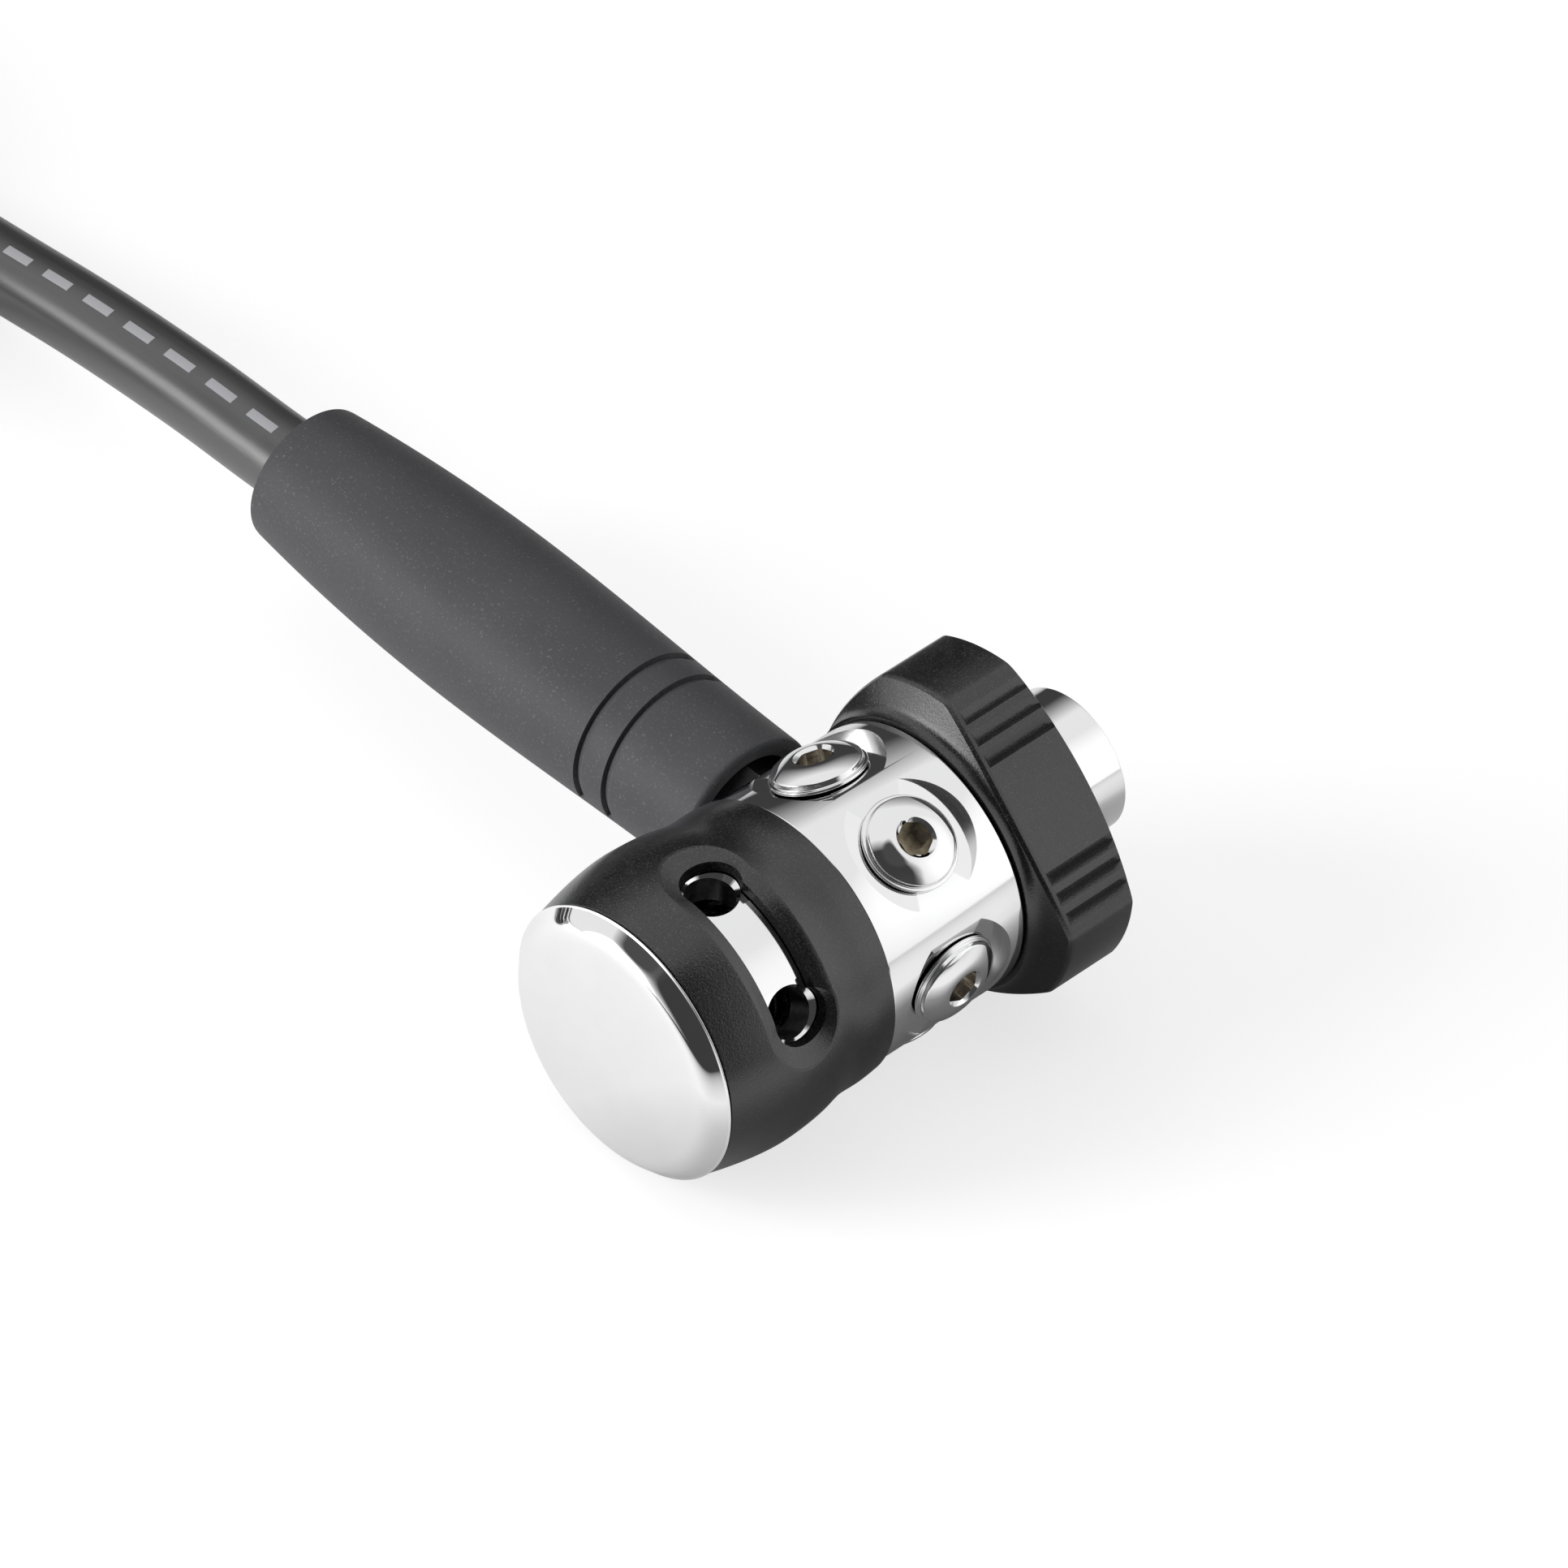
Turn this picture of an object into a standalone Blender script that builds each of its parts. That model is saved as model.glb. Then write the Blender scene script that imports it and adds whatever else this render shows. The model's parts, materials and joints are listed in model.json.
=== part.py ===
"""A scuba regulator first stage with its low-pressure hose.

The body lies along Y, with the domed cap towards -Y and the inlet towards +Y. The hose leaves
towards -X and its spare length lies coiled on the table. The table is Z = 0.
"""

import math

import bmesh
import bpy
from mathutils import Vector

MM = 0.001

# Clearance between neighbouring pieces, and how finely round pieces are divided
GAP = 0.3 * MM
BIG_STEPS = 40
MIDDLE_STEPS = 32
SMALL_STEPS = 24
FITTING_STEPS = 18
RING_STEPS = 16
CORD_SIDES = 6
HOSE_SIDES = 10

# Body: heights are measured along the axis from the cap's seat, radii from the axis
BODY_RADIUS = 20.2 * MM
PORT_BAND_LENGTH = 24.0 * MM
CHAMBER_STEP = 1.2 * MM
CHAMBER_WALL = 4.5 * MM
CHAMBER_FLOOR_INSET = 1.0 * MM
FLOOR_THICKNESS = 6.5 * MM
SEAT_CHAMBER_RADIUS = 9.0 * MM
THROAT_RADIUS = 5.2 * MM
THROAT_THICKNESS = 1.2 * MM
INLET_BORE_DEPTH = 5.6 * MM
BODY_EDGE = 0.5 * MM

# Ports: angles are measured from straight up, positive towards +X
PORT_OFFSET = 12.2 * MM
PLUG_PORT_ANGLES = (-27.5, 27.5, 92.0, 152.5, -152.5)
HOSE_PORT_ANGLE = -92.0
PORT_FLAT_DEPTH = 1.75 * MM
SPOT_FACE_RADIUS = 9.4 * MM
PORT_BORE_RADIUS = 4.8 * MM
PORT_BORE_DEPTH = 7.4 * MM
PORT_PASSAGE_RADIUS = 2.6 * MM

# Water ports through the chamber wall, two under each window of the collar
WATER_PORT_HEIGHT = 13.8 * MM
WATER_PORT_RADIUS = 3.5 * MM
WATER_PORT_BEVEL = 0.7 * MM
WINDOW_ANGLES = (30.0, 210.0)
WATER_PORT_SPREAD = 30.0

# Collar
COLLAR_LENGTH = 29.0 * MM
COLLAR_FRONT_LIP = 0.1 * MM
COLLAR_BULGE = 2.0 * MM
COLLAR_WAIST = 0.85 * MM
COLLAR_REAR_LIP = 0.6 * MM
WINDOW_HALF_WIDTH = 7.3 * MM
WINDOW_SLOT_HALF_WIDTH = 3.0 * MM
WINDOW_EYE_RADIUS = 4.35 * MM
WINDOW_WALL = 1.6 * MM

# End cap
CAP_RIM_STAND = 0.2 * MM
CAP_BEVEL_WIDTH = 3.2 * MM
CAP_BEVEL_HEIGHT = 2.1 * MM
CAP_CROWN = 0.8 * MM
CAP_SKIRT_LENGTH = 8.5 * MM
CAP_SKIRT_WALL = 3.0 * MM
CAP_CEILING = 0.5 * MM

# Seals: the thickness of each rubber ring, and where its groove starts
CAP_RING_CORD = 1.5 * MM
CAP_GROOVE_START = 2.0 * MM
HEAD_RING_CORD = 1.5 * MM
STEM_RING_CORD = 1.4 * MM
INLET_RING_CORD = 1.2 * MM
FACE_RING_CORD = 1.3 * MM
PLUG_RING_CORD = 1.0 * MM

# Piston and spring
PISTON_HEAD_THICKNESS = 4.2 * MM
PISTON_STEM_RADIUS = 3.7 * MM
PISTON_BORE_RADIUS = 1.4 * MM
PISTON_TRAVEL = 1.3 * MM
SEAT_RADIUS = 2.6 * MM
SEAT_THICKNESS = 2.0 * MM
SPRING_CLEARANCE = 1.3 * MM
SPRING_WIRE = 2.6 * MM
SPRING_TURNS = 5.5
SPRING_TURN_STEPS = 10
SHIM_THICKNESS = 0.8 * MM

# Inlet
CROWN_FLANGE = 1.5 * MM
CROWN_TIP_RADIUS = 2.2 * MM
CROWN_TIP_OFFSET = 2.5 * MM
CROWN_CONE = 1.6 * MM
CROWN_BORE_RADIUS = 1.5 * MM
STEM_RADIUS = 7.0 * MM
STEM_HEAD_STEP = 1.6 * MM
STEM_HEAD_LENGTH = 7.6 * MM
STEM_BORE_RADIUS = 3.2 * MM
STEM_FACE_STAND = 0.8 * MM
FILTER_POCKET_RADIUS = 4.7 * MM
FILTER_POCKET_DEPTH = 9.8 * MM
FILTER_THICKNESS = 3.0 * MM
FILTER_DOME = 1.2 * MM
CLIP_WIRE = 0.7 * MM
CLIP_OPENING = 50.0

# Handwheel: its outline has three lobes with a gently curved flat between each two
WHEEL_LENGTH = 15.7 * MM
WHEEL_FLAT_STAND = 1.1 * MM
WHEEL_LOBE_STAND = 3.85 * MM
WHEEL_HUB_STAND = 0.4 * MM
WHEEL_DISH_DEPTH = 1.6 * MM
WHEEL_FACE_SLOPE = 0.5
WHEEL_EDGE = 0.5 * MM
WHEEL_LOBES = 3
WHEEL_LOBE_HALF_ANGLE = 14.5
WHEEL_PHASE = -17.7
GROOVES_A_GROUP = 3
GROOVE_PITCH = 3.1 * MM
GROOVE_WIDTH = 1.9 * MM
GROOVE_DEPTH = 0.9 * MM
GROOVE_INSET = 1.8 * MM
GROOVE_RUN_OUT = 1.6 * MM
CORE_WALL = 3.4 * MM
CORE_HUB_WALL = 4.7 * MM
SPIGOT_LENGTH = 12.4 * MM
SPIGOT_EDGE = 0.3 * MM
WASHER_THICKNESS = 0.6 * MM
WASHER_WIDTH = 3.4 * MM

# Port plugs
PLUG_SHANK_LENGTH = 6.4 * MM
PLUG_FLANGE_RADIUS = 6.9 * MM
PLUG_FLANGE_THICKNESS = 0.5 * MM
PLUG_HEAD_RADIUS = 6.35 * MM
PLUG_RIM_THICKNESS = 0.8 * MM
PLUG_DOME_HEIGHT = 1.3 * MM
PLUG_SOCKET_WIDTH = 4.6 * MM
PLUG_SOCKET_DEPTH = 3.4 * MM
PLUG_SOCKET_BEVEL = 0.5 * MM

# Hose, its end pieces and the rubber protector over them
HOSE_DIAMETER = 12.0 * MM
FITTING_HEX_WIDTH = 14.3 * MM
FITTING_HEX_LENGTH = 6.2 * MM
FERRULE_RADIUS = 7.9 * MM
FERRULE_LENGTH = 20.7 * MM
PROTECTOR_LENGTH = 88.5 * MM
PROTECTOR_WALL = 3.1 * MM
PROTECTOR_BULGE = 1.1 * MM
PROTECTOR_BULGE_PLACE = 50.0 * MM
PROTECTOR_TIP_DROP = 1.1 * MM
PROTECTOR_EDGE = 0.9 * MM
PROTECTOR_GROOVE_PLACES = (14.1 * MM, 19.4 * MM)
PROTECTOR_GROOVE_DEPTH = 0.7 * MM
PROTECTOR_GROOVE_WIDTH = 1.8 * MM

# Route of the hose after its straight start: distance out along -X and height above the table
HOSE_ROUTE = (
    (120.0 * MM, 18.1 * MM),
    (135.0 * MM, 17.1 * MM),
    (155.0 * MM, 14.7 * MM),
    (175.0 * MM, 11.2 * MM),
    (195.0 * MM, 7.9 * MM),
    (212.0 * MM, 6.4 * MM),
    (226.0 * MM, 6.05 * MM),
    (238.0 * MM, 6.05 * MM),
)
ROUTE_STEP = 2.0

# Coil of the spare length: angles run anticlockwise seen from above
COIL_RADIUS = 66.0 * MM
COIL_END_RADIUS = 52.0 * MM
COIL_TURN = 540.0
COIL_TURN_STEPS = 24
COIL_CLIMB = (235.0, 345.0)
COIL_DRAW_IN = (400.0, 540.0)
COIL_LIFT = (430.0, 540.0)
COIL_LAYER_GAP = 0.5 * MM
TIE_STEPS = 2
TIE_HUMP_ANGLE = 26.0
TIE_WIDTH = 9.0 * MM
TIE_THICKNESS = 1.0 * MM

# Far end of the hose
NUT_HEX_WIDTH = 17.5 * MM
NUT_LENGTH = 15.0 * MM
NUT_LIP = 4.0 * MM
NUT_BORE_RADIUS = 7.2 * MM
NUT_EDGE = 0.9 * MM
FAR_STEM_RADIUS = 4.2 * MM
FAR_STEM_HEAD = 1.5 * MM
FAR_STEM_TIP = 2.6 * MM
FAR_RING_CORD = 1.0 * MM

# Heights along the axis that follow from the sizes above
SHOULDER = COLLAR_LENGTH + 2 * GAP
PORT_HEIGHT = SHOULDER + PORT_OFFSET
BODY_END = SHOULDER + PORT_BAND_LENGTH
CHAMBER_FLOOR = SHOULDER - CHAMBER_FLOOR_INSET
SEAT_CHAMBER_START = CHAMBER_FLOOR + FLOOR_THICKNESS
INLET_BORE_START = BODY_END - INLET_BORE_DEPTH
THROAT_START = INLET_BORE_START - THROAT_THICKNESS
WHEEL_FRONT = BODY_END + GAP
WHEEL_REAR = WHEEL_FRONT + WHEEL_LENGTH
SPIGOT_END = WHEEL_REAR + SPIGOT_LENGTH
STEM_END = SPIGOT_END + STEM_FACE_STAND
STEM_HEAD_START = STEM_END - STEM_HEAD_LENGTH
STEM_START = INLET_BORE_START + CROWN_FLANGE + 2 * GAP
PISTON_HEAD_START = CAP_CEILING + GAP
PISTON_HEAD_END = PISTON_HEAD_START + PISTON_HEAD_THICKNESS
SHIM_START = CHAMBER_FLOOR - GAP - SHIM_THICKNESS
CAP_FRONT = -(CAP_BEVEL_HEIGHT + CAP_CROWN)

# Radii that follow from the sizes above
CHAMBER_RADIUS = BODY_RADIUS - CHAMBER_STEP
CHAMBER_BORE = CHAMBER_RADIUS - CHAMBER_WALL
COLLAR_BORE = CHAMBER_RADIUS + GAP
CAP_RADIUS = BODY_RADIUS + CAP_RIM_STAND
SKIRT_RADIUS = CHAMBER_BORE - GAP
SKIRT_BORE = SKIRT_RADIUS - CAP_SKIRT_WALL
PISTON_HEAD_RADIUS = SKIRT_BORE - GAP
SPRING_RADIUS = SKIRT_BORE - SPRING_CLEARANCE - SPRING_WIRE / 2
GUIDE_RADIUS = PISTON_STEM_RADIUS + GAP
INLET_BORE = STEM_RADIUS + GAP
STEM_HEAD_RADIUS = STEM_RADIUS + STEM_HEAD_STEP
CORE_BORE = STEM_RADIUS + GAP
CORE_COUNTERBORE = STEM_HEAD_RADIUS + GAP
SPIGOT_RADIUS = CORE_BORE + CORE_WALL
CORE_HUB_RADIUS = CORE_BORE + CORE_HUB_WALL
WHEEL_BORE = CORE_HUB_RADIUS + GAP
WHEEL_HUB_RADIUS = BODY_RADIUS + WHEEL_HUB_STAND
WHEEL_FLAT_RADIUS = BODY_RADIUS + WHEEL_FLAT_STAND
WHEEL_LOBE_RADIUS = WHEEL_FLAT_RADIUS + WHEEL_LOBE_STAND
PORT_FLAT = BODY_RADIUS - PORT_FLAT_DEPTH
PLUG_SHANK_RADIUS = PORT_BORE_RADIUS - GAP
HOSE_RADIUS = HOSE_DIAMETER / 2
HEX_CORNER = 1 / math.cos(math.pi / 6)

# Grooves and places that tie two pieces together
STEM_RING_START = CHAMBER_FLOOR + FLOOR_THICKNESS / 2 - STEM_RING_CORD / 2
STEM_RING_GROOVE = PISTON_STEM_RADIUS + STEM_RING_CORD + 2 * GAP
CROWN_TIP = PORT_HEIGHT + CROWN_TIP_OFFSET
PISTON_STEM_END = CROWN_TIP - PISTON_TRAVEL - 2 * GAP
FACE_RING_RADIUS = (FILTER_POCKET_RADIUS + STEM_HEAD_RADIUS) / 2
HEX_END = PORT_FLAT + GAP + FITTING_HEX_LENGTH
FERRULE_END = HEX_END + GAP + FERRULE_LENGTH
PROTECTOR_START = BODY_RADIUS + 2 * GAP


def clear_scene():
    for old in list(bpy.data.objects):
        bpy.data.objects.remove(old, do_unlink=True)


def collection(name):
    made = bpy.data.collections.new(name)
    bpy.context.scene.collection.children.link(made)
    return made


def finish(name, colour, roughness, metallic):
    made = bpy.data.materials.new(name)
    made.use_nodes = True
    shader = made.node_tree.nodes["Principled BSDF"]
    shader.inputs["Base Color"].default_value = (*colour, 1.0)
    shader.inputs["Roughness"].default_value = roughness
    shader.inputs["Metallic"].default_value = metallic
    return made


def empty(name, parent=None, location=(0, 0, 0), rotation=(0, 0, 0)):
    made = bpy.data.objects.new(name, None)
    made.location = location
    made.rotation_euler = rotation
    made.parent = parent
    PARTS.objects.link(made)
    return made


def add_object(name, data, look, parent=None, cutter=False):
    made = bpy.data.objects.new(name, data)
    made.parent = parent
    if cutter:
        CUTTERS.objects.link(made)
        made.hide_render = True
        made.display_type = "WIRE"
    else:
        PARTS.objects.link(made)
        data.materials.append(look)
    return made


def turned(name, profile, look, parent, steps=BIG_STEPS, cutter=False):
    """A turned piece. The profile lists (radius, height) down the outer side, from the highest
    point to the lowest, and back up the bore if it has one."""
    mesh = bpy.data.meshes.new(name)
    count = len(profile)
    edges = [(i, i + 1) for i in range(count - 1)]
    if profile[0][0] > 0:
        edges.append((count - 1, 0))
    mesh.from_pydata([(radius, 0, height) for radius, height in profile], edges, [])
    made = add_object(name, mesh, look, parent, cutter)
    screw = made.modifiers.new("turn", "SCREW")
    screw.steps = screw.render_steps = steps
    screw.use_merge_vertices = True
    screw.merge_threshold = 0.00001
    screw.use_smooth_shade = True
    return made


def lofted(name, sections, look, parent, closed=False, cutter=False):
    """A skin over rings of points that all have the same count. A loft that isn't closed gets
    a fan of faces at each end."""
    build = bmesh.new()
    rings = [[build.verts.new(point) for point in ring] for ring in sections]
    count = len(rings[0])
    pairs = list(zip(rings, rings[1:] + rings[:1] if closed else rings[1:]))
    for lower, upper in pairs:
        for i in range(count):
            j = (i + 1) % count
            build.faces.new((lower[i], lower[j], upper[j], upper[i]))
    if not closed:
        for ring in (rings[0], rings[-1]):
            middle = sum((vert.co for vert in ring), Vector()) / count
            centre = build.verts.new(middle)
            for i in range(count):
                build.faces.new((ring[i], ring[(i + 1) % count], centre))
    bmesh.ops.recalc_face_normals(build, faces=build.faces)
    mesh = bpy.data.meshes.new(name)
    build.to_mesh(mesh)
    build.free()
    mesh.shade_smooth()
    mesh.set_sharp_from_angle(angle=math.radians(35))
    return add_object(name, mesh, look, parent, cutter)


def circle_ring(radius, height, count=FITTING_STEPS):
    turns = [2 * math.pi * i / count for i in range(count)]
    return [(radius * math.cos(t), radius * math.sin(t), height) for t in turns]


def hex_ring(width, height, count=FITTING_STEPS):
    """A ring of points on a hexagon, whose width is measured across its flats."""
    sector = math.pi / 3
    ring = []
    for i in range(count):
        turn = 2 * math.pi * i / count
        radius = width / 2 / math.cos(turn % sector - sector / 2)
        ring.append((radius * math.cos(turn), radius * math.sin(turn), height))
    return ring


def tube(name, points, radius, sides, look, parent=None):
    """A round tube along points, with its ends closed, as a welded mesh."""
    curve = bpy.data.curves.new(name + "_path", "CURVE")
    curve.dimensions = "3D"
    curve.bevel_depth = radius
    curve.bevel_resolution = (sides - 4) // 2
    curve.use_fill_caps = True
    spline = curve.splines.new("POLY")
    spline.points.add(len(points) - 1)
    for point, place in zip(spline.points, points):
        point.co = (*place, 1.0)
    path = bpy.data.objects.new(name + "_path", curve)
    PARTS.objects.link(path)
    graph = bpy.context.evaluated_depsgraph_get()
    mesh = bpy.data.meshes.new_from_object(path.evaluated_get(graph))
    bpy.data.objects.remove(path)
    build = bmesh.new()
    build.from_mesh(mesh)
    bmesh.ops.remove_doubles(build, verts=build.verts, dist=0.000001)
    bmesh.ops.recalc_face_normals(build, faces=build.faces)
    build.to_mesh(mesh)
    build.free()
    mesh.name = name
    mesh.materials.clear()
    mesh.shade_smooth()
    mesh.set_sharp_from_angle(angle=math.radians(50))
    return add_object(name, mesh, look, parent)


def seal(name, inside, cord, low, parent):
    """A rubber ring round the axis, a gap outside the radius it sits on."""
    ring_radius = inside + GAP + cord / 2
    height = low + cord / 2
    profile = []
    for i in range(CORD_SIDES):
        turn = -2 * math.pi * (i + 0.5) / CORD_SIDES
        profile.append((ring_radius + cord / 2 * math.cos(turn), height + cord / 2 * math.sin(turn)))
    return turned(name, profile, RUBBER_SEAL, parent, RING_STEPS)


def cut(piece, cutter):
    hole = piece.modifiers.new(cutter.name, "BOOLEAN")
    hole.operation = "DIFFERENCE"
    hole.solver = "EXACT"
    hole.object = cutter


def smooth_step(value, span):
    """Rises from 0 to 1 over the span, level at both ends."""
    share = min(max((value - span[0]) / (span[1] - span[0]), 0.0), 1.0)
    return share * share * (3 - 2 * share)


def wheel_outline(grooved):
    """The handwheel's outline as points (x, y) round its axis, starting at the first lobe.

    Each lobe is an arc about the axis. The flat between two lobes is an arc of a larger radius
    through both lobe corners, and a group of grooves is cut into it near each corner."""
    pitch = 2 * math.pi / WHEEL_LOBES
    half_lobe = math.radians(WHEEL_LOBE_HALF_ANGLE)
    corner_turn = pitch / 2 - half_lobe
    corner_out = WHEEL_LOBE_RADIUS * math.cos(corner_turn)
    corner_side = WHEEL_LOBE_RADIUS * math.sin(corner_turn)
    rise = WHEEL_FLAT_RADIUS - corner_out
    flat_radius = (corner_side ** 2 + rise ** 2) / (2 * rise)
    flat_centre = WHEEL_FLAT_RADIUS - flat_radius
    half_flat = math.asin(corner_side / flat_radius)

    marks = [(-half_flat, 0.0), (half_flat, 0.0)]
    for side in (-1, 1):
        for i in range(GROOVES_A_GROUP):
            place = GROOVE_INSET + GROOVE_WIDTH / 2 + i * GROOVE_PITCH
            middle = side * (half_flat - place / flat_radius)
            half = GROOVE_WIDTH / 2 / flat_radius
            marks += [(middle - half, 0.0), (middle, GROOVE_DEPTH), (middle + half, 0.0)]
    inner = half_flat - (GROOVE_INSET + GROOVES_A_GROUP * GROOVE_PITCH) / flat_radius
    marks += [(inner * share, 0.0) for share in (-0.6, -0.2, 0.2, 0.6)]
    marks.sort()

    outline = []
    for lobe in range(WHEEL_LOBES):
        lobe_turn = math.radians(WHEEL_PHASE) + lobe * pitch
        for share in (-0.6, -0.2, 0.2, 0.6):
            turn = lobe_turn + share * half_lobe
            outline.append((WHEEL_LOBE_RADIUS * math.sin(turn), -WHEEL_LOBE_RADIUS * math.cos(turn)))
        flat_turn = lobe_turn + pitch / 2
        for turn, depth in marks:
            reach = flat_radius - (depth if grooved else 0.0)
            out = flat_centre + reach * math.cos(turn)
            along = reach * math.sin(turn)
            outline.append(
                (
                    out * math.sin(flat_turn) + along * math.cos(flat_turn),
                    -out * math.cos(flat_turn) + along * math.sin(flat_turn),
                )
            )
    return outline


def reach_of_wheel(x, z):
    """How far the wheel reaches from its axis in one direction across it."""
    return max(px * x - py * z for px, py in wheel_outline(grooved=True))


def port_frame(name, angle):
    """An empty on the axis whose Z points out of the port at this angle."""
    turn = (math.pi / 2, 0, math.radians(angle))
    return empty(name, AXIS, (0, 0, PORT_HEIGHT), turn)


def make_main_body():
    body = turned(
        "main_body",
        [
            (BODY_RADIUS - BODY_EDGE, BODY_END),
            (BODY_RADIUS, BODY_END - BODY_EDGE),
            (BODY_RADIUS, SHOULDER),
            (CHAMBER_RADIUS, SHOULDER),
            (CHAMBER_RADIUS, GAP),
            (CHAMBER_BORE, GAP),
            (CHAMBER_BORE, CHAMBER_FLOOR),
            (GUIDE_RADIUS, CHAMBER_FLOOR),
            (GUIDE_RADIUS, STEM_RING_START - GAP),
            (STEM_RING_GROOVE, STEM_RING_START - GAP),
            (STEM_RING_GROOVE, STEM_RING_START + STEM_RING_CORD + GAP),
            (GUIDE_RADIUS, STEM_RING_START + STEM_RING_CORD + GAP),
            (GUIDE_RADIUS, SEAT_CHAMBER_START),
            (SEAT_CHAMBER_RADIUS, SEAT_CHAMBER_START),
            (SEAT_CHAMBER_RADIUS, THROAT_START),
            (THROAT_RADIUS, THROAT_START),
            (THROAT_RADIUS, INLET_BORE_START),
            (INLET_BORE, INLET_BORE_START),
            (INLET_BORE, BODY_END),
        ],
        CHROME,
        AXIS,
    )
    outside = BODY_RADIUS + WHEEL_FLAT_STAND
    bore_bottom = PORT_FLAT - PORT_BORE_DEPTH
    for frame in PLUG_PORTS + [HOSE_PORT]:
        cutter = turned(
            "cut_" + frame.name,
            [
                (0, outside),
                (SPOT_FACE_RADIUS, outside),
                (SPOT_FACE_RADIUS, PORT_FLAT),
                (PORT_BORE_RADIUS, PORT_FLAT),
                (PORT_BORE_RADIUS, bore_bottom),
                (PORT_PASSAGE_RADIUS, bore_bottom),
                (PORT_PASSAGE_RADIUS, SEAT_CHAMBER_RADIUS - 2 * GAP),
                (0, SEAT_CHAMBER_RADIUS - 2 * GAP),
            ],
            None,
            frame,
            FITTING_STEPS,
            cutter=True,
        )
        cut(body, cutter)
    bevel_end = CHAMBER_RADIUS + WATER_PORT_BEVEL
    for window in WINDOW_ANGLES:
        for side in (-1, 1):
            angle = window + side * WATER_PORT_SPREAD
            frame = empty(
                f"water_port_{angle:.0f}",
                AXIS,
                (0, 0, WATER_PORT_HEIGHT),
                (math.pi / 2, 0, math.radians(angle)),
            )
            cutter = turned(
                "cut_" + frame.name,
                [
                    (0, bevel_end),
                    (WATER_PORT_RADIUS + 2 * WATER_PORT_BEVEL, bevel_end),
                    (WATER_PORT_RADIUS, CHAMBER_RADIUS - WATER_PORT_BEVEL),
                    (WATER_PORT_RADIUS, CHAMBER_BORE / 2),
                    (0, CHAMBER_BORE / 2),
                ],
                None,
                frame,
                RING_STEPS,
                cutter=True,
            )
            cut(body, cutter)


def make_end_cap():
    bevel_inner = CAP_RADIUS - CAP_BEVEL_WIDTH
    groove_bottom = SKIRT_RADIUS - CAP_RING_CORD - GAP
    groove_start = CAP_GROOVE_START
    groove_end = groove_start + CAP_RING_CORD + 2 * GAP
    profile = [
        (0, CAP_CEILING),
        (SKIRT_BORE, CAP_CEILING),
        (SKIRT_BORE, CAP_SKIRT_LENGTH),
        (SKIRT_RADIUS, CAP_SKIRT_LENGTH),
        (SKIRT_RADIUS, groove_end),
        (groove_bottom, groove_end),
        (groove_bottom, groove_start),
        (SKIRT_RADIUS, groove_start),
        (SKIRT_RADIUS, 0),
        (CAP_RADIUS, 0),
    ]
    # The shoulder starts steep at the rim and rolls over into the crown
    for share in (0.3, 0.6, 0.85, 1.0):
        drop = CAP_BEVEL_HEIGHT * math.sin(share * math.pi / 2) ** 1.2
        profile.append((CAP_RADIUS - share * CAP_BEVEL_WIDTH, -drop))
    for share in (0.75, 0.5, 0.25, 0.0):
        profile.append((bevel_inner * share, -CAP_BEVEL_HEIGHT - CAP_CROWN * (1 - share ** 2)))
    turned("end_cap", profile, CHROME, AXIS)
    seal("cap_o_ring", groove_bottom, CAP_RING_CORD, groove_start + GAP, AXIS)


def collar_profile():
    """The collar's outer radius along its length: a barrel in front, a waist and a rear lip."""
    front = CHAMBER_RADIUS + CHAMBER_STEP + COLLAR_FRONT_LIP
    stations = (
        (0.0, COLLAR_FRONT_LIP),
        (0.12, 0.45 * COLLAR_BULGE),
        (0.25, 0.8 * COLLAR_BULGE),
        (0.38, COLLAR_BULGE),
        (0.5, 0.97 * COLLAR_BULGE),
        (0.62, 0.8 * COLLAR_BULGE),
        (0.76, COLLAR_WAIST),
        (0.9, COLLAR_WAIST),
        (1.0, COLLAR_REAR_LIP),
    )
    base = front - COLLAR_FRONT_LIP
    return [(base + stand, GAP + share * COLLAR_LENGTH) for share, stand in stations]


def window_edge(spread, surface, slot_half):
    """One long side of a window, as (turn, half width) along it. The spread is 0 at the foot of
    the bevel, where two round eyes are joined by a slot, and 1 at the collar's surface, where
    the outline is one long slot with round ends."""
    arc_steps = 7
    straight_steps = 5
    eye_turn = math.asin(slot_half / WINDOW_EYE_RADIUS)
    ends = []
    for i in range(arc_steps + 1):
        share = i / arc_steps
        eye = math.pi - share * (math.pi - eye_turn)
        slot = math.pi - share * math.pi / 2
        foot = Vector((math.cos(eye), math.sin(eye))) * WINDOW_EYE_RADIUS
        brim = Vector((math.cos(slot), math.sin(slot))) * WINDOW_HALF_WIDTH
        ends.append(foot.lerp(brim, spread))
    reach = math.radians(WATER_PORT_SPREAD)
    stations = [(-reach + along / surface, half) for along, half in ends]
    first_turn, first_half = stations[-1]
    for i in range(1, straight_steps):
        stations.append((first_turn * (1 - 2 * i / straight_steps), first_half))
    return stations + [(reach - along / surface, half) for along, half in reversed(ends)]


def window_section(radius, spread, surface):
    """Both long sides of the window on a cylinder. The front side runs straight from eye to eye,
    and the rear side stands in between them."""
    rows = []
    for side, slot_half in ((-1, WINDOW_EYE_RADIUS), (1, WINDOW_SLOT_HALF_WIDTH)):
        edge = window_edge(spread, surface, slot_half)
        rows.append(
            [
                (radius * math.sin(turn), -radius * math.cos(turn), WATER_PORT_HEIGHT + side * half)
                for turn, half in edge
            ]
        )
    return rows


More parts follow.
